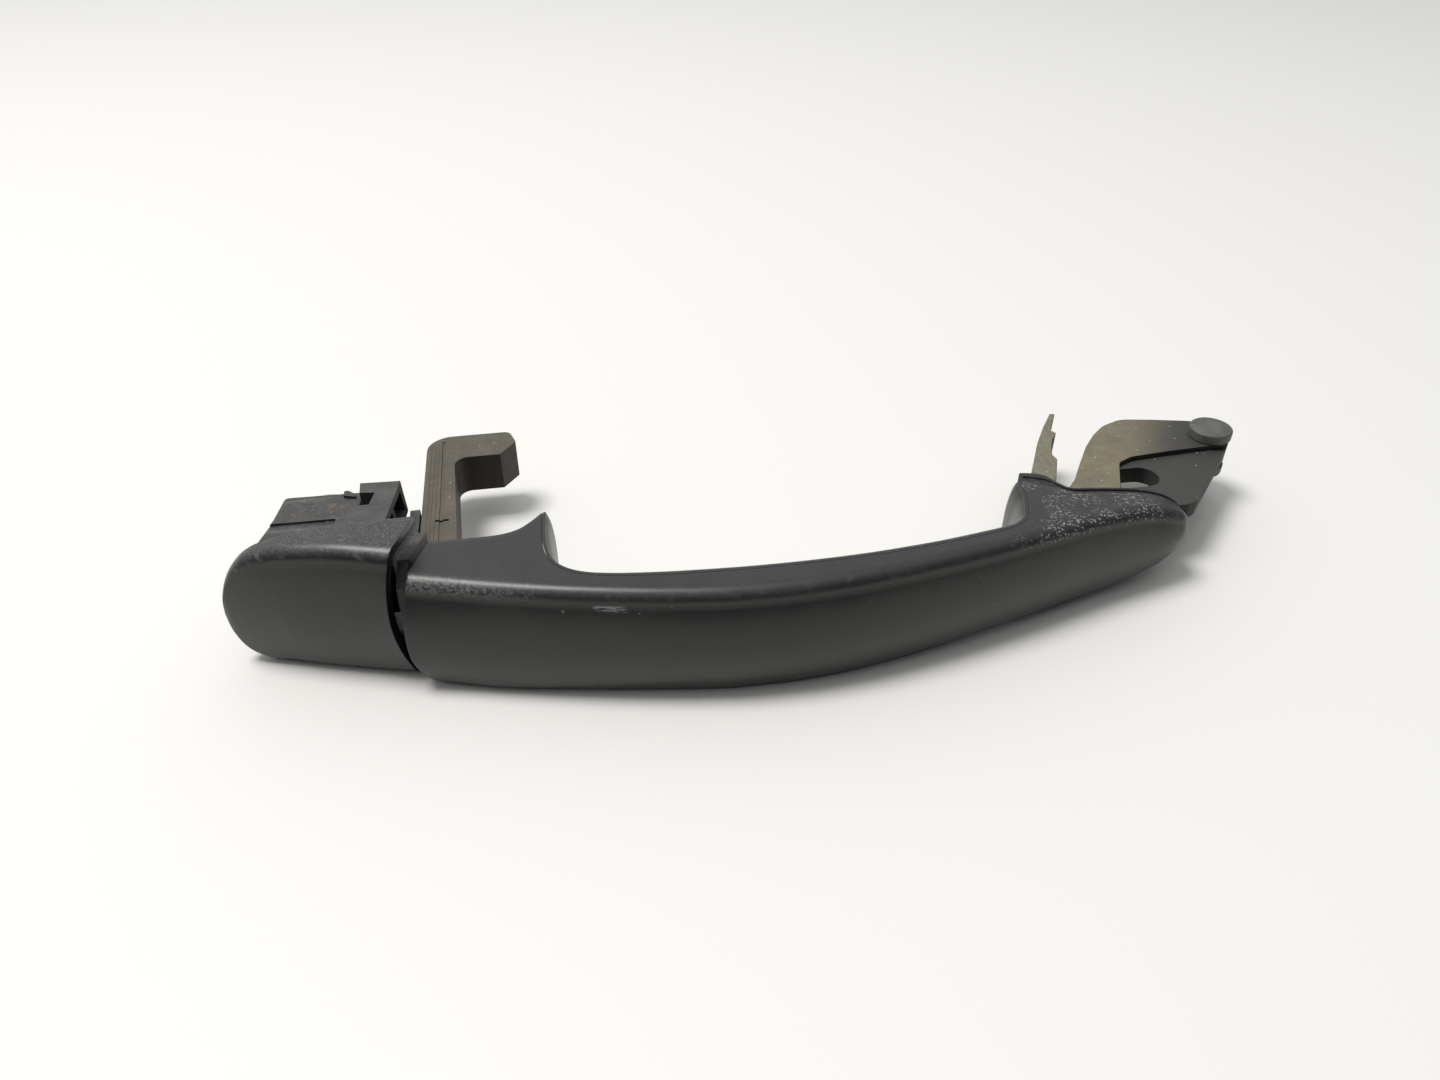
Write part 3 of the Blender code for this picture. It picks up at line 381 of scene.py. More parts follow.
class Finish:
    def __init__(self, name):
        self.material = bpy.data.materials.new(name)
        self.material.use_nodes = True
        self.nodes = self.material.node_tree.nodes
        self.links = self.material.node_tree.links
        self.nodes.clear()
        self.shader = self.nodes.new("ShaderNodeBsdfPrincipled")
        end = self.nodes.new("ShaderNodeOutputMaterial")
        self.links.new(self.shader.outputs[0], end.inputs[0])
        place = self.node("ShaderNodeTexCoord", {}, {}, "Object")
        self.place = self.node("ShaderNodeVectorMath", {"operation": "SCALE"}, {0: place, "Scale": 1000.0})
        self.x, self.y, self.z = (
            self.node("ShaderNodeSeparateXYZ", {}, {0: self.place}, axis) for axis in "XYZ"
        )
        facing = self.node("ShaderNodeNewGeometry", {}, {}, "Normal")
        self.up = self.node("ShaderNodeSeparateXYZ", {}, {0: facing}, "Z")
        self.ahead = self.node("ShaderNodeSeparateXYZ", {}, {0: facing}, "Y")

    def node(self, kind, settings, values, output=0):
        made = self.nodes.new(kind)
        for key, value in settings.items():
            setattr(made, key, value)
        for key, value in values.items() if isinstance(values, dict) else enumerate(values):
            if isinstance(value, Sock):
                self.links.new(value.socket, made.inputs[key])
            else:
                made.inputs[key].default_value = value
        return Sock(self, made.outputs[output])

    def stretched(self, scales):
        return self.node("ShaderNodeMapping", {}, {"Vector": self.place, "Scale": scales})

    def noise(self, scale, detail=3.0, roughness=0.55, scales=None):
        place = self.stretched(scales) if scales else self.place
        return self.node("ShaderNodeTexNoise", {}, {"Vector": place, "Scale": scale, "Detail": detail,
                                                    "Roughness": roughness})

    def specks(self, scale, size, share):
        # round dots in a share of the cells
        dots = {"Vector": self.place, "Scale": scale}
        distance = self.node("ShaderNodeTexVoronoi", {}, dots, "Distance")
        cell = self.node("ShaderNodeSeparateXYZ", {}, {0: self.node("ShaderNodeTexVoronoi", {}, dots, "Color")}, "X")
        return (1 - distance.between(size * 0.4, size)) * cell.between(1 - share, 1 - share + 0.02)

    def mix(self, factor, first, second):
        return self.node("ShaderNodeMix", {"data_type": "RGBA"}, {0: factor, 6: first, 7: second}, 2)

    def attribute(self, name):
        return self.node("ShaderNodeAttribute", {"attribute_name": name}, {}, "Fac")

    def bump(self, height, depth, under=None):
        # depth in mm
        values = {"Height": height, "Distance": depth * mm, "Strength": 1.0}
        if under:
            values["Normal"] = under
        return self.node("ShaderNodeBump", {}, values)

    def finish(self, colour, roughness, normal=None, metallic=0.0, **settings):
        for label, value in (("Base Color", colour), ("Roughness", roughness), ("Normal", normal),
                             ("Metallic", metallic)):
            if isinstance(value, Sock):
                self.links.new(value.socket, self.shader.inputs[label])
            elif value is not None:
                self.shader.inputs[label].default_value = value
        for label, value in settings.items():
            self.shader.inputs[label.replace("_", " ")].default_value = value
        return self.material


def grey(value, warm=0.0):
    return (value * (1 + warm), value, value * (1 - warm), 1.0)


# the moulded black of the grip and the cap, with its grain, dust and rubbed edges, a painted highlight along the
# grip's upper crease, and a painted reflection that lightens the lower part of the front faces
satin = {
    "colour": 0.007, "pale": 0.011, "scuffAndSheen": 0.26, "roughness": 0.28, "grain": 2.8, "grainDepth": 0.012,
    "paintedFloorReflection": 0.75,
}


def satinBlack(name, scuffsAndSheen):
    f = Finish(name)
    mottle = f.noise(0.12, 4.0)
    fine = f.noise(satin["grain"], 2.0, 0.6)
    broad = f.noise(0.9, 3.0)
    colour = f.mix(mottle.between(0.35, 0.7), grey(satin["colour"], 0.02), grey(satin["pale"], 0.03))
    dust = f.up.between(0.25, 0.95) * f.noise(2.2, 5.0, 0.7).between(0.30, 0.90)
    colour = f.mix(dust * 0.20, colour, grey(0.12, 0.06))
    rubbedAndSheen = scuffsAndSheen(f, fine)
    colour = f.mix(rubbedAndSheen, colour, grey(satin["scuffAndSheen"], 0.01))
    dots = f.specks(0.45, 0.16, 0.12) * f.noise(0.05, 2.0).between(0.45, 0.7)
    colour = f.mix(dots * 0.5, colour, grey(0.35, 0.02))
    # painted reflection: front faces lighten towards the bottom, as if they mirrored the bright floor
    paintedFloorReflection = (1 - f.z.between(-13.5, 5.0)) * (1 - f.ahead.between(-0.75, -0.35))
    colour = f.mix(paintedFloorReflection * satin["paintedFloorReflection"], colour, grey(0.050, 0.02))
    roughness = satin["roughness"] + 0.10 * mottle + 0.14 * fine - 0.06 + rubbedAndSheen * 0.22 + dust * 0.1
    normal = f.bump(fine, satin["grainDepth"])
    normal = f.bump(broad, 0.010, normal)
    return f.finish(colour, roughness, normal, Specular_IOR_Level=0.55)


def gripScuffsAndCreaseSheen(f, fine):
    edge = f.attribute("creaseNearness")
    ragged = f.noise(0.8, 6.0, 0.7)
    rear = (1 - f.x.between(-8.0, 22.0)) * edge.between(0.05, 0.9) * f.noise(1.6, 5.0, 0.7).between(0.36, 0.66)
    front = f.x.between(112.0, 128.0) * (1 - f.x.between(154.0, 163.0)) * f.z.between(3.0, 6.0)
    chips = f.specks(1.3, 0.42, 0.42).most(f.specks(0.75, 0.30, 0.30))
    strokes = f.noise(1.9, 3.0, 0.6, (0.5, 1.6, 1.0)).between(0.60, 0.63)
    near = edge.between(0.10, 0.6) + f.up.between(0.5, 0.9) * f.noise(0.12, 3.0).between(0.40, 0.52) * 0.9
    front = front * near * chips.most(strokes * 0.9)
    # partly wear and partly a painted highlight: a steady lightening along the whole upper crease, with blotchy wear
    # laid over it
    creaseWearAndSheen = edge.between(0.3, 1.0) * (f.noise(0.5, 5.0, 0.7).between(0.50, 0.80) * 0.16 + 0.06)
    nick = f.x.between(21.0, 22.5) * (1 - f.x.between(27.5, 29.0)) * f.z.between(8.6, 9.2)
    nick = nick * (1 - f.z.between(9.7, 10.3)) * f.noise(1.1, 4.0, 0.7, (0.3, 1.0, 1.8)).between(0.42, 0.60)
    return (rear * 0.55).most(front).most(creaseWearAndSheen).most(nick * 0.9) * (fine * 0.6 + 0.6)


def capScuffs(f, fine):
    top = f.up.between(0.35, 0.9) * f.noise(2.6, 5.0, 0.75).between(0.42, 0.66)
    dots = f.up.between(0.4, 0.9) * f.specks(0.8, 0.25, 0.25)
    edge = f.attribute("creaseNearness").between(0.4, 1.0) * f.noise(0.5, 5.0, 0.7).between(0.5, 0.7)
    return (top * 0.32).most(dots * 0.5).most(edge * 0.35) * (fine * 0.6 + 0.6)


def noScuffs(f, fine):
    return f.up.between(0.6, 1.0) * f.noise(0.6, 5.0, 0.7).between(0.55, 0.75) * 0.2


def dullBlack(name, colour, roughness, dusty, lines=0.0, brown=0.0, grain=1.6, depth=0.02):
    # housings, brackets, tongue and seals
    f = Finish(name)
    mottle = f.noise(0.18, 5.0, 0.6)
    fine = f.noise(grain, 3.0, 0.6)
    shade = f.mix(mottle.between(0.35, 0.7), grey(colour, 0.02), grey(colour * 1.7, 0.03))
    powder = f.up.between(0.2, 0.95) * f.noise(0.8, 7.0, 0.75).between(0.45, 0.7)
    shade = f.mix(powder * dusty, shade, grey(0.17, 0.09))
    if lines:
        drawn = f.noise(0.5, 2.0, 0.5, (0.08, 1.4, 1.0)).between(0.60, 0.66)
        shade = f.mix(drawn * lines, shade, grey(0.13, 0.02))
    if brown:
        rust = f.noise(0.28, 6.0, 0.7).between(0.57, 0.66) * f.up.between(0.0, 0.8)
        shade = f.mix(rust * brown, shade, (0.14, 0.085, 0.055, 1.0))
    bits = f.specks(0.5, 0.18, 0.2) * f.up.between(0.0, 0.7)
    shade = f.mix(bits * dusty, shade, grey(0.38, 0.02))
    rough = roughness + 0.15 * fine + powder * (0.3 * dusty) - 0.07
    return f.finish(shade, rough, f.bump(fine, depth), Specular_IOR_Level=0.5)


def oliveNylon(name, colour, dark, fadeFrom=None, fadeTo=None, along=None):
    # dusty glass-filled nylon with lengthwise draw marks, which may fade to dark grey; side faces get painted shade,
    # and faces turned towards −Y get a near-black painted shade
    f = Finish(name)
    mottle = f.noise(0.22, 6.0, 0.7)
    fine = f.noise(2.2, 4.0, 0.7)
    shade = f.mix(mottle.between(0.3, 0.72), tuple(0.72 * c for c in colour) + (1.0,), colour + (1.0,))
    stain = f.noise(0.10, 5.0, 0.6).between(0.5, 0.75)
    shade = f.mix(stain * 0.4, shade, (0.16, 0.115, 0.08, 1.0))
    height = fine * 0.5
    if along:
        marks = f.noise(1.0, 3.0, 0.6, along)
        shade = f.mix(marks.between(0.52, 0.68) * 0.45, shade, grey(0.055, 0.05))
        height = height + marks
    grime = f.noise(0.9, 6.0, 0.75).between(0.58, 0.68)
    shade = f.mix(grime * 0.5, shade, grey(0.045, 0.12))
    if fadeFrom:
        spot = f.node("ShaderNodeVectorMath", {"operation": "DOT_PRODUCT"}, {0: f.place, 1: fadeFrom}, "Value")
        dim = (spot + (mottle - 0.5) * 9.0).between(*fadeTo)
        inside = 1 - f.z.calc("ABSOLUTE", f.z).between(2.5, 3.1)
        dim = dim.most(inside)
        shade = f.mix(dim, shade, dark)
    # painted shade: faces that don't look up are darkened
    sides = 1 - f.up.between(-0.2, 0.55)
    shade = f.mix(sides * 0.45, shade, grey(0.022, 0.1))
    # painted shade: faces turned towards −Y, the camera's dim side, go near-black
    shade = f.mix((1 - f.ahead.between(-0.95, -0.6)) * 0.7, shade, grey(0.008, 0.1))
    powder = f.specks(0.55, 0.13, 0.30).most(f.specks(0.28, 0.09, 0.3)) * f.up.between(0.1, 0.8)
    shade = f.mix(powder * 0.75, shade, grey(0.55, 0.02))
    return f.finish(shade, 0.62 + 0.2 * fine - 0.06, f.bump(height, 0.05), Specular_IOR_Level=0.4)


def steel(name, colour, roughness):
    f = Finish(name)
    brushed = f.noise(1.2, 3.0, 0.6, (0.4, 3.0, 3.0))
    stain = f.noise(0.25, 4.0).between(0.5, 0.75)
    shade = f.mix(stain * 0.5, grey(colour), grey(colour * 0.55, 0.08))
    return f.finish(shade, roughness + 0.15 * brushed, f.bump(brushed, 0.01), 1.0)


finishes = {
    "gripBlack": satinBlack("gripBlack", gripScuffsAndCreaseSheen),
    "fingerBlack": satinBlack("fingerBlack", noScuffs),
    "capBlack": satinBlack("capBlack", capScuffs),
    "housingBlack": dullBlack("housingBlack", 0.024, 0.46, 0.35, lines=0.35, brown=0.45),
    "bracketGrey": dullBlack("bracketGrey", 0.034, 0.50, 0.15),
    "tongueBlack": dullBlack("tongueBlack", 0.026, 0.44, 0.45, lines=0.3),
    "rubberBlack": dullBlack("rubberBlack", 0.010, 0.66, 0.18, grain=1.1, depth=0.03),
    "coreNylon": dullBlack("coreNylon", 0.040, 0.62, 0.25, lines=0.3),
    "plugZinc": dullBlack("plugZinc", 0.055, 0.40, 0.2, lines=0.5),
    "pinGrey": dullBlack("pinGrey", 0.058, 0.50, 0.30),
    "hookNylon": oliveNylon("hookNylon", (0.105, 0.092, 0.070), None, along=(1.6, 0.05, 1.6)),
    "lugNylon": oliveNylon("lugNylon", (0.185, 0.165, 0.105), grey(0.040, 0.04),
                           fadeFrom=(0.86, -0.5, 0.0), fadeTo=(128.0, 145.0)),
    "finNylon": oliveNylon("finNylon", (0.200, 0.185, 0.130), None, along=(1.4, 0.10, 1.4)),
    "springSteel": steel("springSteel", 0.55, 0.28),
}
print("finishes made:", len(finishes))

# the grip's form
grip = {
    "height": 26.6, "bulge": 1.7, "setback": 0.8, "endSlant": 2.6, "crease": 3.2, "baseDrop": 0.9, "facetDrop": 4.8,
    "backBulge": 4.5, "footBulge": 2.6, "skin": 1.6, "rowsPerStep": 8,
}
endHalf = grip["height"] / 2
halfHeight = smoothCurve(
    [
        (-20, 13.30), (-9, 13.30), (22, 13.27), (44, 13.28), (65, 13.30), (88, 12.90), (113, 11.95),
        (126.5, 11.45), (140.5, 10.55), (150, 9.5), (155, 8.7), (160, 7.25), (163.5, 5.6), (166, 3.75),
        (167.2, 1.9), (167.6, 0.0),
    ]
)
frontLine = smoothCurve(
    [
        (-20, -11.8), (-15.9, -13.1), (-9, -15.3), (1.5, -18.6), (22.5, -24.0), (40, -27.4), (52, -28.9),
        (63, -29.2), (74, -28.6), (88, -26.6), (100, -24.2), (113, -21.1), (126.5, -17.4), (140.5, -13.4),
        (155, -9.9), (161, -8.7), (165, -7.4), (167.6, -5.4),
    ]
)
# front x, then the rear edge's x and y of the same section
sections = [
    (-15.9, -12.15, 1.2), (-12.5, -7.6, 1.2), (-9.0, -3.1, 1.2), (-5.5, 1.2, 1.2), (-2.5, 4.7, 1.7),
    (0.0, 7.5, 2.9), (2.2, 9.7, 4.8), (4.2, 11.5, 6.8), (5.8, 12.9, 8.2), (8.0, 12.6, 4.2),
    (10.5, 12.4, -1.0), (12.8, 12.7, -6.2), (15.2, 13.9, -10.6), (18.0, 16.6, -13.8), (21.5, 20.6, -16.1),
    (27.0, 26.5, -17.7), (35.0, 34.6, -18.9), (45.0, 44.6, -19.8), (57.0, 57.0, -20.5), (70.0, 70.2, -20.6),
    (83.0, 83.6, -19.8), (96.0, 97.0, -18.1), (107.0, 108.3, -15.9), (114.0, 114.6, -14.4),
    (119.0, 118.9, -12.9), (122.5, 121.8, -10.4), (125.2, 123.6, -6.6), (127.8, 125.0, -2.4),
    (130.4, 125.6, 1.2), (132.8, 126.0, 3.4), (135.0, 127.2, 4.4), (137.5, 130.9, 2.3), (139.8, 134.4, 0.9),
    (142.0, 136.9, -0.9), (144.4, 139.6, -1.7), (147.2, 143.3, -1.8), (150.5, 148.0, -1.8),
    (154.0, 152.8, -1.8), (157.8, 157.4, -1.8), (161.4, 161.4, -1.8), (164.2, 164.2, -1.8),
    (166.2, 166.2, -1.8), (167.25, 167.25, -1.8), (167.6, 167.6, -1.8),
]
dropShare = smoothCurve(
    [(-20, 1.0), (0, 1.0), (30, 0.9), (60, 0.9), (88, 0.7), (105, 0.7), (122, 1.2), (140, 2.1), (154, 2.6),
     (162, 2.2), (166, 1.2), (167.6, 0.0)]
)
# how far the lower crease stands ahead of the front line
lowerLean = smoothCurve([(-20, 2.4), (-5, 1.9), (20, 1.2), (60, 0.9), (113, 0.7), (150, 0.3), (167.6, 0.0)])
facetShare = smoothCurve(
    [(-20, 0.0), (0, 0.05), (20, 0.5), (40, 1.0), (62, 1.0), (85, 0.75), (105, 0.5), (126, 0.4), (150, 0.0)]
)
lastRow = len(sections) - 1
noseFrom, noseEnd, noseInside = 150.0, 167.6, 164.9
outerFacet = [(0.0, 1.06), (0.25, 0.94), (1.3, 0.49), (2.3, 0.09), (3.2, 0.0)]
innerFacet = [(0.0, 0.54), (0.5, 0.4), (1.0, 0.2), (1.3, 0.06), (1.6, 0.0)]


def lowHeight(x):
    return float(halfHeight(x)) + grip["baseDrop"] * float(dropShare(x))


def gripRow(place, inside):
    # one section of the wall, from the lower rear edge round the front to the upper rear edge
    frontX, backX, backY = through(sections, [place])[0]
    squeeze = (noseInside - noseFrom) / (noseEnd - noseFrom)
    thin = 1 - wall / float(halfHeight(noseFrom))

    def half(x, upwards):
        full = float(halfHeight(x)) if upwards else lowHeight(x)
        if not inside:
            return full
        return full * thin if x > noseFrom else full - wall

    frontY = float(frontLine(frontX)) + (wall if inside else 0.0)
    tall = half(frontX, True)
    radius = min(grip["crease"], 0.55 * tall)
    if inside:
        radius = min(max(0.3, radius - wall), 0.5 * tall)
    size = float(halfHeight(frontX)) / endHalf
    facet = np.array(innerFacet if inside else outerFacet)
    sides = []
    for upwards in (True, False):
        tall = half(frontX, upwards)
        flat = 0.0 if upwards else float(facetShare(frontX))
        creaseY = frontY + (grip["setback"] if upwards else -float(lowerLean(frontX))) * size
        side = []
        for k in np.linspace(0, 4, 13):
            facetY = np.interp(k, range(5), facet[:, 0])
            facetZ = np.interp(k, range(5), facet[:, 1]) * grip["facetDrop"]
            arcY = radius * (1 - math.cos(math.pi / 8 * k))
            arcZ = radius * (1 - math.sin(math.pi / 8 * k))
            below = arcZ + (facetZ - arcZ) * flat
            side.append((frontX, creaseY + arcY + (facetY - arcY) * flat, tall - below))
        startY = side[-1][1]
        for share in np.linspace(0.125, 1, 8):
            x = frontX + (backX - frontX) * share
            y = startY + (backY - startY) * share
            side.append((x, y, half(x, upwards)))
        sides.append(side)
    upper, lower = sides
    lower = [(x, y, -z) for x, y, z in lower[::-1]]
    front = []
    for t in np.arange(1, 18) / 18:
        y = lower[-1][1] + (upper[0][1] - lower[-1][1]) * t - 4 * grip["bulge"] * size * t * (1 - t)
        front.append((frontX, y, lower[-1][2] + (upper[0][2] - lower[-1][2]) * t))
    row = lower + front + upper
    found, nearCrease = [], []
    for x, y, z in row:
        fade = max(0.0, 1 - (x + 15.9) / 22) ** 2 if x < 6.1 else 0.0
        arc = -2.3 * (1 - min(1.0, (z / endHalf) ** 2))
        if z < -4:
            arc += grip["endSlant"] * ((z + 4) / 9.3) ** 2
        squeezed = noseFrom + (x - noseFrom) * squeeze if inside and x > noseFrom else x
        found.append((squeezed + arc * fade, y, z))
        # nearness to the upper crease, which carries both edge wear and the crease's painted highlight
        far = math.hypot(y - (frontY + 0.8 * size + 0.3 * radius), z - (half(frontX, True) - 0.3 * radius))
        nearCrease.append(0.0 if inside else math.exp(-((far / 2.0) ** 2)))
    return found, nearCrease


places = np.append(np.arange(0, lastRow, 1 / grip["rowsPerStep"]), lastRow)
outerRows = [gripRow(place, False) for place in places]
outerGrid = np.array([row[0] for row in outerRows])
innerGrid = np.array([gripRow(place, True)[0] for place in places])
nearCreaseGrid = np.array([row[1] for row in outerRows]).reshape(-1)
gripOuter = shellPiece("gripOuterShell", outerGrid, innerGrid, finishes["gripBlack"],
                       np.concatenate([nearCreaseGrid, nearCreaseGrid * 0]))
softenEdges(gripOuter, 0.22, 2, 50)
fit(settled(gripOuter, sharp=60, weighted=False), "grip", "satin_black_plastic", "grip_outer_shell")


def rearEdge(places):
    # points of the rear edge in plan, and the normals that point away from the shell
    near = through(sections, places)[:, 1:]
    ahead = through(sections, [min(p + 0.02, lastRow) for p in places])[:, 1:]
    behind = through(sections, [max(p - 0.02, 0) for p in places])[:, 1:]
    along = ahead - behind
    along = along / np.linalg.norm(along, axis=1)[:, None]
    return near, np.stack([-along[:, 1], along[:, 0]], 1)


bulgeAt = smoothCurve(
    [(8, grip["footBulge"] - 0.6), (10, grip["footBulge"]), (12, grip["footBulge"] + 0.3), (16, grip["backBulge"]),
     (22, grip["backBulge"]), (25, grip["footBulge"] + 0.3), (27, grip["footBulge"]), (30, grip["footBulge"] - 0.6)]
)
fingerPlaces = np.append(np.arange(8.0, 29.6, 0.1), 29.6)
rings = []
for place, point, normal in zip(fingerPlaces, *rearEdge(fingerPlaces)):
    high, low, bulge = float(halfHeight(point[0])), lowHeight(point[0]), float(bulgeAt(place))
    ring = [(0.04, -low)]
    for share in np.sin(np.linspace(-math.pi / 2, math.pi / 2, 33)):
        out = bulge * math.sqrt(max(0.0, 1 - abs(share) ** 2.6))
        ring.append((gap + max(out, 0.5), share * (high if share > 0 else low)))
    ring.append((0.04, high))
    for share in np.sin(np.linspace(math.pi / 2, -math.pi / 2, 21)):
        out = (bulge - grip["skin"]) * math.sqrt(max(0.0, 1 - abs(share) ** 2.6))
        ring.append((gap + out, share * ((high if share > 0 else low) - grip["skin"])))
    rings.append([(point[0] + n * normal[0], point[1] + n * normal[1], z) for n, z in ring])
gripInner = loft("gripInnerShell", rings, finishes["fingerBlack"])
fit(gripInner, "grip", "satin_black_plastic", "grip_inner_shell")
print("grip shells made")

# the cap
cap = {"height": 33.6, "back": 2.6, "crease": 3.4, "rows": 90, "end": 58.2, "thinFrom": 44, "insideEnd": 55.5}
capMiddleTop = cap["height"] / 2 - grip["height"] / 2 - grip["baseDrop"] * 0.9
capScale = cap["height"] / 32.8
capHalf = smoothCurve(
    [(-58.2, 0.0), (-57.9, 2.9), (-57.1, 5.9), (-55.3, 9.7), (-53.1, 12.1), (-50.5, 13.8), (-47.4, 14.8),
     (-39.6, 15.8), (-28.5, 16.35), (-15, 16.4)]
)
capMiddle = smoothCurve(
    [(-58.2, -1.2), (-56, -0.9), (-53, 0.0), (-50.5, 0.8), (-47.4, 1.5), (-39.6, 2.4), (-28.5, 3.0), (-15, 3.1)]
)
capFront = smoothCurve(
    [(-58.2, 1.9), (-57.4, 1.2), (-55.0, 0.2), (-51.0, -1.2), (-47.4, -2.4), (-39.6, -5.1), (-28.5, -8.7),
     (-19.0, -11.7), (-15, -12.8)]
)


def jointX(y, z):
    # the cap's end, which follows the arc and the slant of the grip's end
    z = z / capScale
    rise = 2.7 * ((z - 4) / 17.2) ** 2 if z < 4 else 1.3 * ((z - 4) / 15.5) ** 2
    return -20.5 + rise + 0.36 * (y + 11.4)


def gripEndX(y, z):
    return -15.9 + 0.266 * (y + 12.9) - 2.3 * (1 - min(1.0, (z / endHalf) ** 2))


def capRow(station, inside):
    spot = station
    thinFrom = cap["thinFrom"]
    if inside and station < -thinFrom:
        spot = -thinFrom + (station + thinFrom) * (cap["insideEnd"] - thinFrom) / (cap["end"] - thinFrom)
    tall = float(capHalf(station)) * capScale
    middle = float(capMiddle(station)) * capMiddleTop / 3.1
    front = float(capFront(station))
    if inside:
        thin = 1 - wall / (float(capHalf(-thinFrom)) * capScale)
        tall = tall * thin if station < -thinFrom else tall - wall
        front = front + wall * (0.25 + 0.75 * min(1.0, max(0.0, (station + cap["end"]) / 14.2)))
    back = cap["back"]
    front = min(front, back - 0.5)
    radius = min(cap["crease"], 0.5 * tall, 0.6 * (back - front))
    if inside:
        radius = min(max(0.4, radius - wall), 0.5 * tall, 0.45 * (back - front))
    room = tall / 16.4 * min(1.0, (back - front) / 6)
    sides = []
    for setback in (grip["setback"] * room, 0.0):
        crown = 1.2 * room + setback
        creaseY = front + setback
        side = []
        for share in np.linspace(0, 0.9, 10):
            side.append((creaseY - crown * (1 - share**2), share * (tall - radius)))
        for k in range(13):
            a = math.pi / 2 * k / 12
            side.append((creaseY + radius * (1 - math.cos(a)), tall - radius + radius * math.sin(a)))
        for share in np.linspace(0.2, 1, 5):
            side.append((creaseY + radius + (back - creaseY - radius) * share, tall))
        sides.append(side)
    upper, lower = sides
    found, nearCrease = [], []
    for y, z in [(y, -z) for y, z in lower[:0:-1]] + upper:
        far = math.hypot(y - (front + 0.8 * room + 0.3 * radius), z - (tall - 0.3 * radius))
        nearCrease.append(0.0 if inside else math.exp(-((far / 2.0) ** 2)))
        z = z + middle
        blend = max(0.0, 1 - (-19.0 - station) / 17) ** 2
        found.append((spot + blend * (jointX(y, z) + 19.0), y, z))
    return found, nearCrease


stations = -19 - 39.2 * np.sin(np.linspace(0, math.pi / 2, cap["rows"]))
capRows = [capRow(station, False) for station in stations]
capWear = np.array([row[1] for row in capRows]).reshape(-1)
capPiece = shellPiece("capCover", np.array([row[0] for row in capRows]),
                      np.array([capRow(station, True)[0] for station in stations]), finishes["capBlack"],
                      np.concatenate([capWear, capWear * 0]))
softenEdges(capPiece, 0.22, 2, 50)
fit(settled(capPiece, sharp=60, weighted=False), "cap", "satin_black_plastic", "cap_cover")
print("cap made")

# the hook
hook = {
    "left": -15.9, "width": 7.2, "flare": 1.3, "height": 10.4, "reach": 60.6, "bar": 11.3, "spread": 21.4,
    "root": 9.0, "soft": 0.4,
}
hookRight = hook["left"] + hook["width"]
hookFoot = hookRight + hook["flare"]
hookOutline = rounded(
    [(hook["left"], -hook["root"]), (hook["left"], hook["reach"]), (hook["left"] + hook["spread"], hook["reach"]),
     (hook["left"] + hook["spread"] + 1.6, hook["reach"] - 5.6),
     (hook["left"] + hook["spread"] - 2.6, hook["reach"] - hook["bar"]),
     (hookRight, hook["reach"] - hook["bar"]), (hookFoot, 15.0), (hookFoot, -hook["root"])],
    [0, 6.5, 2.2, 1.2, 0.5, 3.4, 0, 0],
)
hookArm = prism("hookArm", hookOutline, -hook["height"] / 2, hook["height"] / 2, finishes["hookNylon"])
# a draw line runs the length of the leg on both sides
sunk = [prism("sunk" + str(side), [(-11.5, 1.0), (-11.9, 58.0), (-11.1, 58.0), (-10.6, 1.0)],
              side * (hook["height"] / 2 - 0.3), side * 20) for side in (1, -1)]
slit = prism("slit", [(-12.6, 20.8), (-12.6, 21.5), (-9.4, 21.5), (-9.4, 20.8)], hook["height"] / 2 - 0.8, 20)
dowels = [prism("bore" + str(y), circle((hook["left"] + hookRight) / 2 + 1.5, y, 1.7, 32), -30, 30)
          for y in (-6.4, -2.8)]
cut(hookArm, *sunk, slit, *dowels)
softenEdges(hookArm, hook["soft"])
fit(settled(hookArm, [*sunk, slit, *dowels]), "grip", "olive_nylon", "hook_arm")
# raised draw lines on both faces of the leg
ribs = {"count": 3, "first": -14.7, "step": 0.95, "from": 3.0, "to": 56.0, "width": 0.22, "proud": 0.12}
hookRibs = grownBy(
    addPiece("hookRibs", [(0, 0, 0)], []), ribRow, Count=ribs["count"],
    Start=(ribs["first"] * mm, ((ribs["from"] + ribs["to"]) / 2 - seatY) * mm, hook["height"] / 2 * mm),
    Step=(ribs["step"] * mm, 0.0, 0.0), Across=(0.0, 0.0, -hook["height"] * mm),
    Size=(ribs["width"] * mm, (ribs["to"] - ribs["from"]) * mm, 2 * ribs["proud"] * mm),
    Material=finishes["hookNylon"],
)
fit(hookRibs, "grip", "olive_nylon")
print("hook made")

# the lug and its pin
lug = {"height": 7.5, "recess": 1.5, "pinX": 191.4, "pinY": 28.1, "pinLength": 13.0, "head": 5.5, "shaft": 3.2}
lugHalf = lug["height"] / 2
lugOutline = rounded(
    [(141.8, 0.5), (142.5, 10.0), (146.1, 13.8), (151.2, 21.4), (156.2, 28.6), (160.9, 34.0), (165.5, 38.0),
     (171.8, 40.6), (180.3, 38.9), (189.8, 36.6), (194.9, 34.4), (197.2, 30.8), (197.0, 26.8), (194.8, 24.1),
     (173.6, 2.0), (170.6, 0.5)],
    [0, 3, 8, 0, 14, 14, 10, 8, 20, 8, 3, 3, 3, 3, 2.5, 2], 6,
)
pivotLug = prism("pivotLug", lugOutline, -lugHalf, lugHalf, finishes["lugNylon"])
recessOutline = rounded(
    [(150.0, -4.0), (161.2, 19.6), (165.6, 21.7), (171.5, 22.2), (177.2, 22.65), (188.5, 23.2), (206.0, 25.3),
     (206.0, -4.0)],
    [0, 2.4, 6, 12, 12, 12, 0, 0], 8,
)
recesses = [prism("recess" + str(side), recessOutline, side * (lugHalf - lug["recess"]), side * 30)
            for side in (1, -1)]
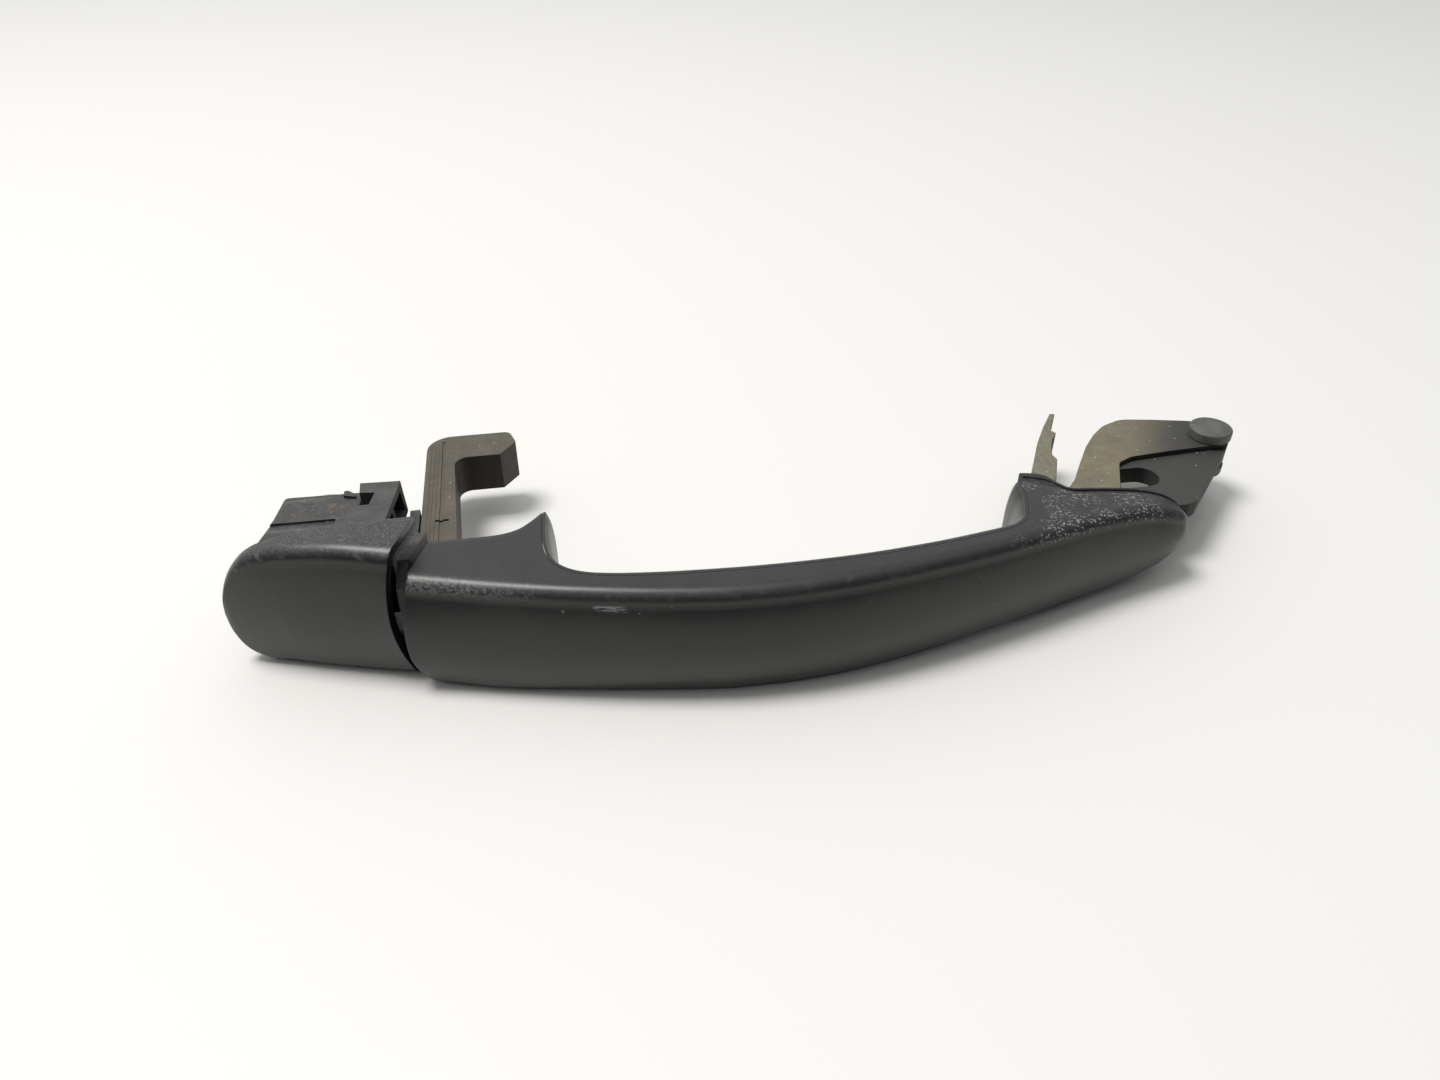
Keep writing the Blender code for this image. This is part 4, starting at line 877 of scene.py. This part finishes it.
window = prism("window", rounded([(157.1, 9.9), (169.4, 9.9), (169.4, 18.6), (161.2, 18.6)],
                                 [0.8, 4.3, 4.3, 0.8], 16), -30, 30)
pinBore = prism("pinBore", circle(lug["pinX"], lug["pinY"], lug["shaft"] + gap), -30, 30)
cut(pivotLug, *recesses, window, pinBore)
softenEdges(pivotLug, 0.35)
settled(pivotLug, [*recesses, window, pinBore])
tenonHalf = 3.5
lugTenon = prism("lugTenon", [(143.0, -6.6), (150.6, -6.6), (150.6, 0.4), (143.0, 0.4)], -tenonHalf, tenonHalf,
                 finishes["lugNylon"])
fit(pivotLug, "grip", "olive_nylon", "pivot_lug")
fit(lugTenon, "grip", "olive_nylon")
head = lugHalf + gap
tip = lug["pinLength"] / 2
softRim = [(lug["head"] - 0.5 + 0.5 * math.sin(a), tip - 0.5 + 0.5 * math.cos(a))
           for a in np.linspace(0, math.pi / 2, 6)]
upperPin = softRim + [(lug["head"], head), (lug["head"] - 0.15, head), (lug["shaft"], head)]
pinProfile = [(0.01, -tip)] + [(radius, -z) for radius, z in upperPin] + upperPin[::-1] + [(0.01, tip)]
pivotPin = turned("pivotPin", pinProfile, lug["pinX"], lug["pinY"], finishes["pinGrey"])
fit(pivotPin, "grip", "pin_finish", "pivot_pin")
print("lug and pin made")

# the fin
finOutline = [
    (135.2, -4.0), (135.5, 11.9), (136.6, 18.5), (140.2, 25.3), (143.3, 30.9), (148.1, 38.3), (153.0, 45.1),
    (154.6, 45.1), (152.0, 40.7), (149.6, 36.5), (150.5, 35.1), (149.4, 33.5), (148.0, 31.9), (146.2, 28.3),
    (144.8, 24.7), (145.2, 22.5), (143.2, 18.3), (141.2, 14.1), (139.8, 11.3), (139.5, -4.0),
]
finRadii = [0, 8, 12, 20, 20, 20, 0.6, 0.5, 2, 0.6, 0.5, 1, 3, 3, 1, 0.8, 4, 4, 4, 0]
guideFin = prism("guideFin", rounded(finOutline, finRadii, 6), -4.8, 4.8, finishes["finNylon"])
softenEdges(guideFin, 0.22)
fit(settled(guideFin), "grip", "olive_nylon", "guide_fin")

# the seal of the front foot
# Y of its back: a collar round the fin, then a lip that stops just short of the seating plane
sealBack = smoothCurve(
    [(126, 8.9), (128, 9.0), (130.5, 8.8), (133.2, 7.7), (135.0, 4.6), (136.6, 2.0), (138.5, 1.3), (168, 1.3)]
)
sealPlaces = np.append(np.arange(30.15, 42.7, 0.1), 42.7)
rings = []
for place, point, normal in zip(sealPlaces, *rearEdge(sealPlaces)):
    tall = max(0.5, float(halfHeight(point[0])) - 0.15 * (1 + place / 30))
    near = point + normal * gap
    far = np.array([point[0] + 0.4, float(sealBack(point[0]))])
    ring = []
    for n, z in ((0, -1), (0.3, -1), (0.42, -0.975), (0.55, -1), (0.8, -1), (0.93, -0.985), (1, -0.95), (1, -0.6),
                 (1, 0), (1, 0.6), (1, 0.95), (0.93, 0.985), (0.8, 1), (0.55, 1), (0.42, 0.975), (0.3, 1), (0, 1)):
        spot = near + (far - near) * n
        ring.append((spot[0], spot[1], z * tall))
    rings.append(ring)
frontSeal = loft("frontSeal", rings, finishes["rubberBlack"])
slots = [prism("finSlot", [(134.9, -6), (135.2, 14), (140.1, 14), (139.8, -6)], -5.1, 5.1),
         prism("lugSlot", [(142.7, -6.9), (150.9, -6.9), (150.9, 9), (142.7, 9)], -3.8, 3.8),
         prism("lugPass", [(141.5, 0.2), (176, 0.2), (176, 20), (141.5, 20)], -4.05, 4.05)]
cut(frontSeal, *slots)
fit(settled(frontSeal, slots, 50, weighted=False), "grip", "seal_rubber", "front_seal")
# a bead round the rim of the seal's lip
rim = [ring[13] for ring in rings] + [ring[3] for ring in reversed(rings)]
rimMesh = bpy.data.meshes.new("sealBead")
rimMesh.from_pydata([(x * mm, (y - seatY) * mm, z * mm) for x, y, z in rim[::2]],
                    [(i, i + 1) for i in range(len(rim[::2]) - 1)], [])
sealBead = bpy.data.objects.new("sealBead", rimMesh)
bpy.context.scene.collection.objects.link(sealBead)
fit(grownBy(sealBead, beadRow, Radius=0.32 * mm, Material=finishes["rubberBlack"]), "grip", "seal_rubber")

# the tongue in the joint
tongueRings = []
for y, x, low, high in ((-8.3, -19.3, -9.6, 8.6), (-4.4, -18.9, -10.1, 10.9), (-3.4, -18.6, -10.1, 12.5),
                        (0.6, -17.2, -10.1, 12.7), (5.8, -15.2, -9.6, 12.7)):
    left, right = [], []
    for k in range(25):
        z = low + (high - low) * k / 24
        near = max(x, jointX(-9.3, z) + 0.5)
        left.append((near, y, z))
        right.append((min(near + 2.4, gripEndX(y, z) - 0.5), y, z))
    tongueRings.append(left + right[::-1])
endTongue = loft("endTongue", tongueRings, finishes["tongueBlack"])
hookPass = prism("hookPass", [(-16.2, -9.3), (-7.1, -9.3), (-7.1, 20.0), (-16.2, 20.0)], -5.5, 5.5)
tongueEar = prism("tongueEar", [(-20.3, 3.4), (-20.3, 12.0), (-18.5, 17.0), (-18.5, 26.0), (-16.2, 26.0),
                                (-16.2, -4.0), (-18.5, -4.0), (-18.5, 3.4)], -6.0, 5.6)
cut(endTongue, tongueEar, operation="UNION")
cut(endTongue, hookPass)
softenEdges(endTongue, 0.2, 2)
fit(settled(endTongue, [hookPass, tongueEar]), "grip", "tongue_plastic", "end_tongue")
print("seals and tongue made")

# the housing behind the cap and the bracket on it
housing = {"depth": 30.0, "top": 10.0, "bottom": -8.0, "front": 4.4, "barrelX": -37.4, "barrelZ": 1.0,
           "bore": 6.9}
housingOutline = rounded(
    [(-51.4, housing["front"]), (-50.6, 13.0), (-48.4, 21.0), (-47.0, housing["depth"]),
     (-21.2, housing["depth"] - 0.8), (-21.2, housing["front"])],
    [0, 8, 8, 1.2, 1.2, 0],
)
top = housing["top"]
cylinderHousing = prism("cylinderHousing", housingOutline, housing["bottom"], top, finishes["housingBlack"])
softenEdges(cylinderHousing, 0.45)
shelf = prism("shelf", [(-31.6, -10), (-31.6, 17.9), (-30.4, 19.6), (-29.3, 24.4), (-29.3, 60), (0, 60), (0, -10)],
              top - 4.3, 40)
step = prism("step", [(-60, -10), (-60, 19.4), (-34.2, 19.0), (-34.2, -10)], top - 0.6, 40)
neck = prism("neck", rounded([(-44.5, -7.4), (-24, -7.4), (-24, 4.6), (-33.4, 4.6), (-33.4, 8.6), (-44.5, 8.6)],
                             [2] * 6), 0.9, 7.4, axis="y")
nub = prism("nub", [(-33.2, 27.4), (-30.4, 26.6), (-30.4, 27.6), (-32.2, 29.4), (-33.2, 29.4)], top - 2, top + 0.7)
barrelBore = prism("barrelBore", circle(housing["barrelX"], housing["barrelZ"], housing["bore"], 96), -40, 80,
                   axis="y")
screwBore = prism("screwBore", circle(-27.6, 12.4, 1.7, 48), -40, 12.7)
scratch = prism("scratch", [(-42.6, 26.0), (-42.6, 26.16), (-40.0, 25.9), (-40.0, 25.74)], top - 0.12, 40)
cut(cylinderHousing, shelf, step)
cut(cylinderHousing, neck, nub, operation="UNION")
cut(cylinderHousing, barrelBore, screwBore, scratch)
softenEdges(cylinderHousing, 0.12, 2)
bracketRings = []
for level, outline in (
    (6.0, [(-31.5, 5), (-30.6, 17.6), (-26, 17.4), (-25, 22.3), (-28.7, 22.8), (-28.9, 27.2), (-18.9, 25.6),
           (-21.2, 5)]),
    (14.0, [(-31.5, 5), (-30.4, 17.6), (-26, 17.4), (-25, 22.3), (-28.5, 22.8), (-28.7, 26.9), (-19.5, 26.4),
            (-22.6, 5)]),
):
    bracketRings.append([(x, y, level) for x, y in outline])
snapBracket = loft("snapBracket", bracketRings, finishes["bracketGrey"])
ribGaps = [prism("ribGap", [(-24.6, 8.2), (-24.0, 16.0), (-14.0, 14.6), (-14.0, 8.2)], 7.2, 12.4),
           prism("ribGapBack", [(-23.2, 17.2), (-22.6, 24.6), (-14.0, 23.6), (-14.0, 17.2)], 7.2, 12.4)]
cut(snapBracket, *ribGaps, screwBore)
softenEdges(snapBracket, 0.25)
fit(settled(snapBracket, ribGaps), "cap", "bracket_plastic", "snap_bracket")
fit(settled(cylinderHousing, [shelf, step, neck, nub, barrelBore, screwBore, scratch]), "cap", "housing_plastic",
    "cylinder_housing")
print("housing and bracket made")

for node, name, finish, body, slot in (
    ("bracket_screw", "bracketScrew", "springSteel", "cap", "spring_steel"),
    ("cap_seal", "capSeal", "rubberBlack", "cap", "seal_rubber"),
    ("barrel_plug", "barrelPlug", "plugZinc", "cap", "cylinder_zinc"),
    ("barrel_clip", "barrelClip", "springSteel", "cap", "spring_steel"),
    ("grip_core", "gripCore", "coreNylon", "grip", "core_nylon"),
    ("hook_dowel_front", "hookDowelFront", "springSteel", "grip", "spring_steel"),
    ("hook_dowel_rear", "hookDowelRear", "springSteel", "grip", "spring_steel"),
    ("lug_dowel_left", "lugDowelLeft", "springSteel", "grip", "spring_steel"),
    ("lug_dowel_right", "lugDowelRight", "springSteel", "grip", "spring_steel"),
    ("rear_pad", "rearPad", "rubberBlack", "grip", "seal_rubber"),
):
    refined(node, name, finishes[finish], body, slot)
print("inner pieces made")

# floor, light and camera, in metres
studio = {
    "floorSide": 3.0, "floorColour": (0.74, 0.73, 0.705, 1.0), "floorRoughness": 0.60,
    "skyTowards": (-0.20, 0.55, 0.81), "skyRange": (-0.20, 0.9, 0.02, 0.86), "skyColour": (0.97, 0.985, 1.0, 1.0),
    "lightPlace": (-0.50, 0.16, 1.55), "lightAim": (0.05, 0.0, 0.0), "lightSize": 0.62, "lightPower": 22.0,
    "lightColour": (1.0, 0.985, 0.96), "cameraPlace": (0.0177, -0.1981, 0.1516),
    "cameraTowards": (0.1405, 0.7967, -0.5878), "sensor": 36.0, "lens": 26.875,
}
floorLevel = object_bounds()[0].z
floorMesh = bpy.data.meshes.new("floor")
side = studio["floorSide"]
floorMesh.from_pydata([(-side, -side, floorLevel), (side, -side, floorLevel), (side, side, floorLevel),
                       (-side, side, floorLevel)], [], [(0, 1, 2, 3)])
floor = bpy.data.objects.new("floor", floorMesh)
bpy.context.scene.collection.objects.link(floor)
pale = Finish("paleFloor")
floorMesh.materials.append(pale.finish(studio["floorColour"], studio["floorRoughness"]))

# the room is bright above and behind the handle and dim on the camera's side
world = bpy.data.worlds.new("studio")
world.use_nodes = True
sky = world.node_tree.nodes["Background"]
direction = world.node_tree.nodes.new("ShaderNodeTexCoord")
facing = world.node_tree.nodes.new("ShaderNodeVectorMath")
facing.operation = "DOT_PRODUCT"
facing.inputs[1].default_value = studio["skyTowards"]
brightness = world.node_tree.nodes.new("ShaderNodeMapRange")
brightness.interpolation_type = "SMOOTHSTEP"
for index, value in enumerate(studio["skyRange"], 1):
    brightness.inputs[index].default_value = value
world.node_tree.links.new(direction.outputs["Generated"], facing.inputs[0])
world.node_tree.links.new(facing.outputs["Value"], brightness.inputs[0])
world.node_tree.links.new(brightness.outputs[0], sky.inputs[1])
sky.inputs[0].default_value = studio["skyColour"]
bpy.context.scene.world = world


def softbox(name, place, aim, size, power, colour):
    light = bpy.data.lights.new(name, "AREA")
    light.shape = "DISK"
    light.size = size
    light.energy = power
    light.color = colour
    obj = bpy.data.objects.new(name, light)
    obj.location = place
    obj.rotation_mode = "QUATERNION"
    obj.rotation_quaternion = (Vector(aim) - Vector(place)).to_track_quat("-Z", "Y")
    bpy.context.scene.collection.objects.link(obj)


softbox("keyLight", studio["lightPlace"], studio["lightAim"], studio["lightSize"], studio["lightPower"],
        studio["lightColour"])

camera = bpy.data.cameras.new("camera")
camera.sensor_width = studio["sensor"]
camera.lens = studio["lens"]
camera.clip_start = 0.01
cameraObject = bpy.data.objects.new("camera", camera)
cameraObject.location = studio["cameraPlace"]
cameraObject.rotation_mode = "QUATERNION"
cameraObject.rotation_quaternion = Vector(studio["cameraTowards"]).to_track_quat("-Z", "Y")
bpy.context.scene.collection.objects.link(cameraObject)
bpy.context.scene.camera = cameraObject
bpy.context.scene.view_settings.view_transform = "Standard"
print("stage set")
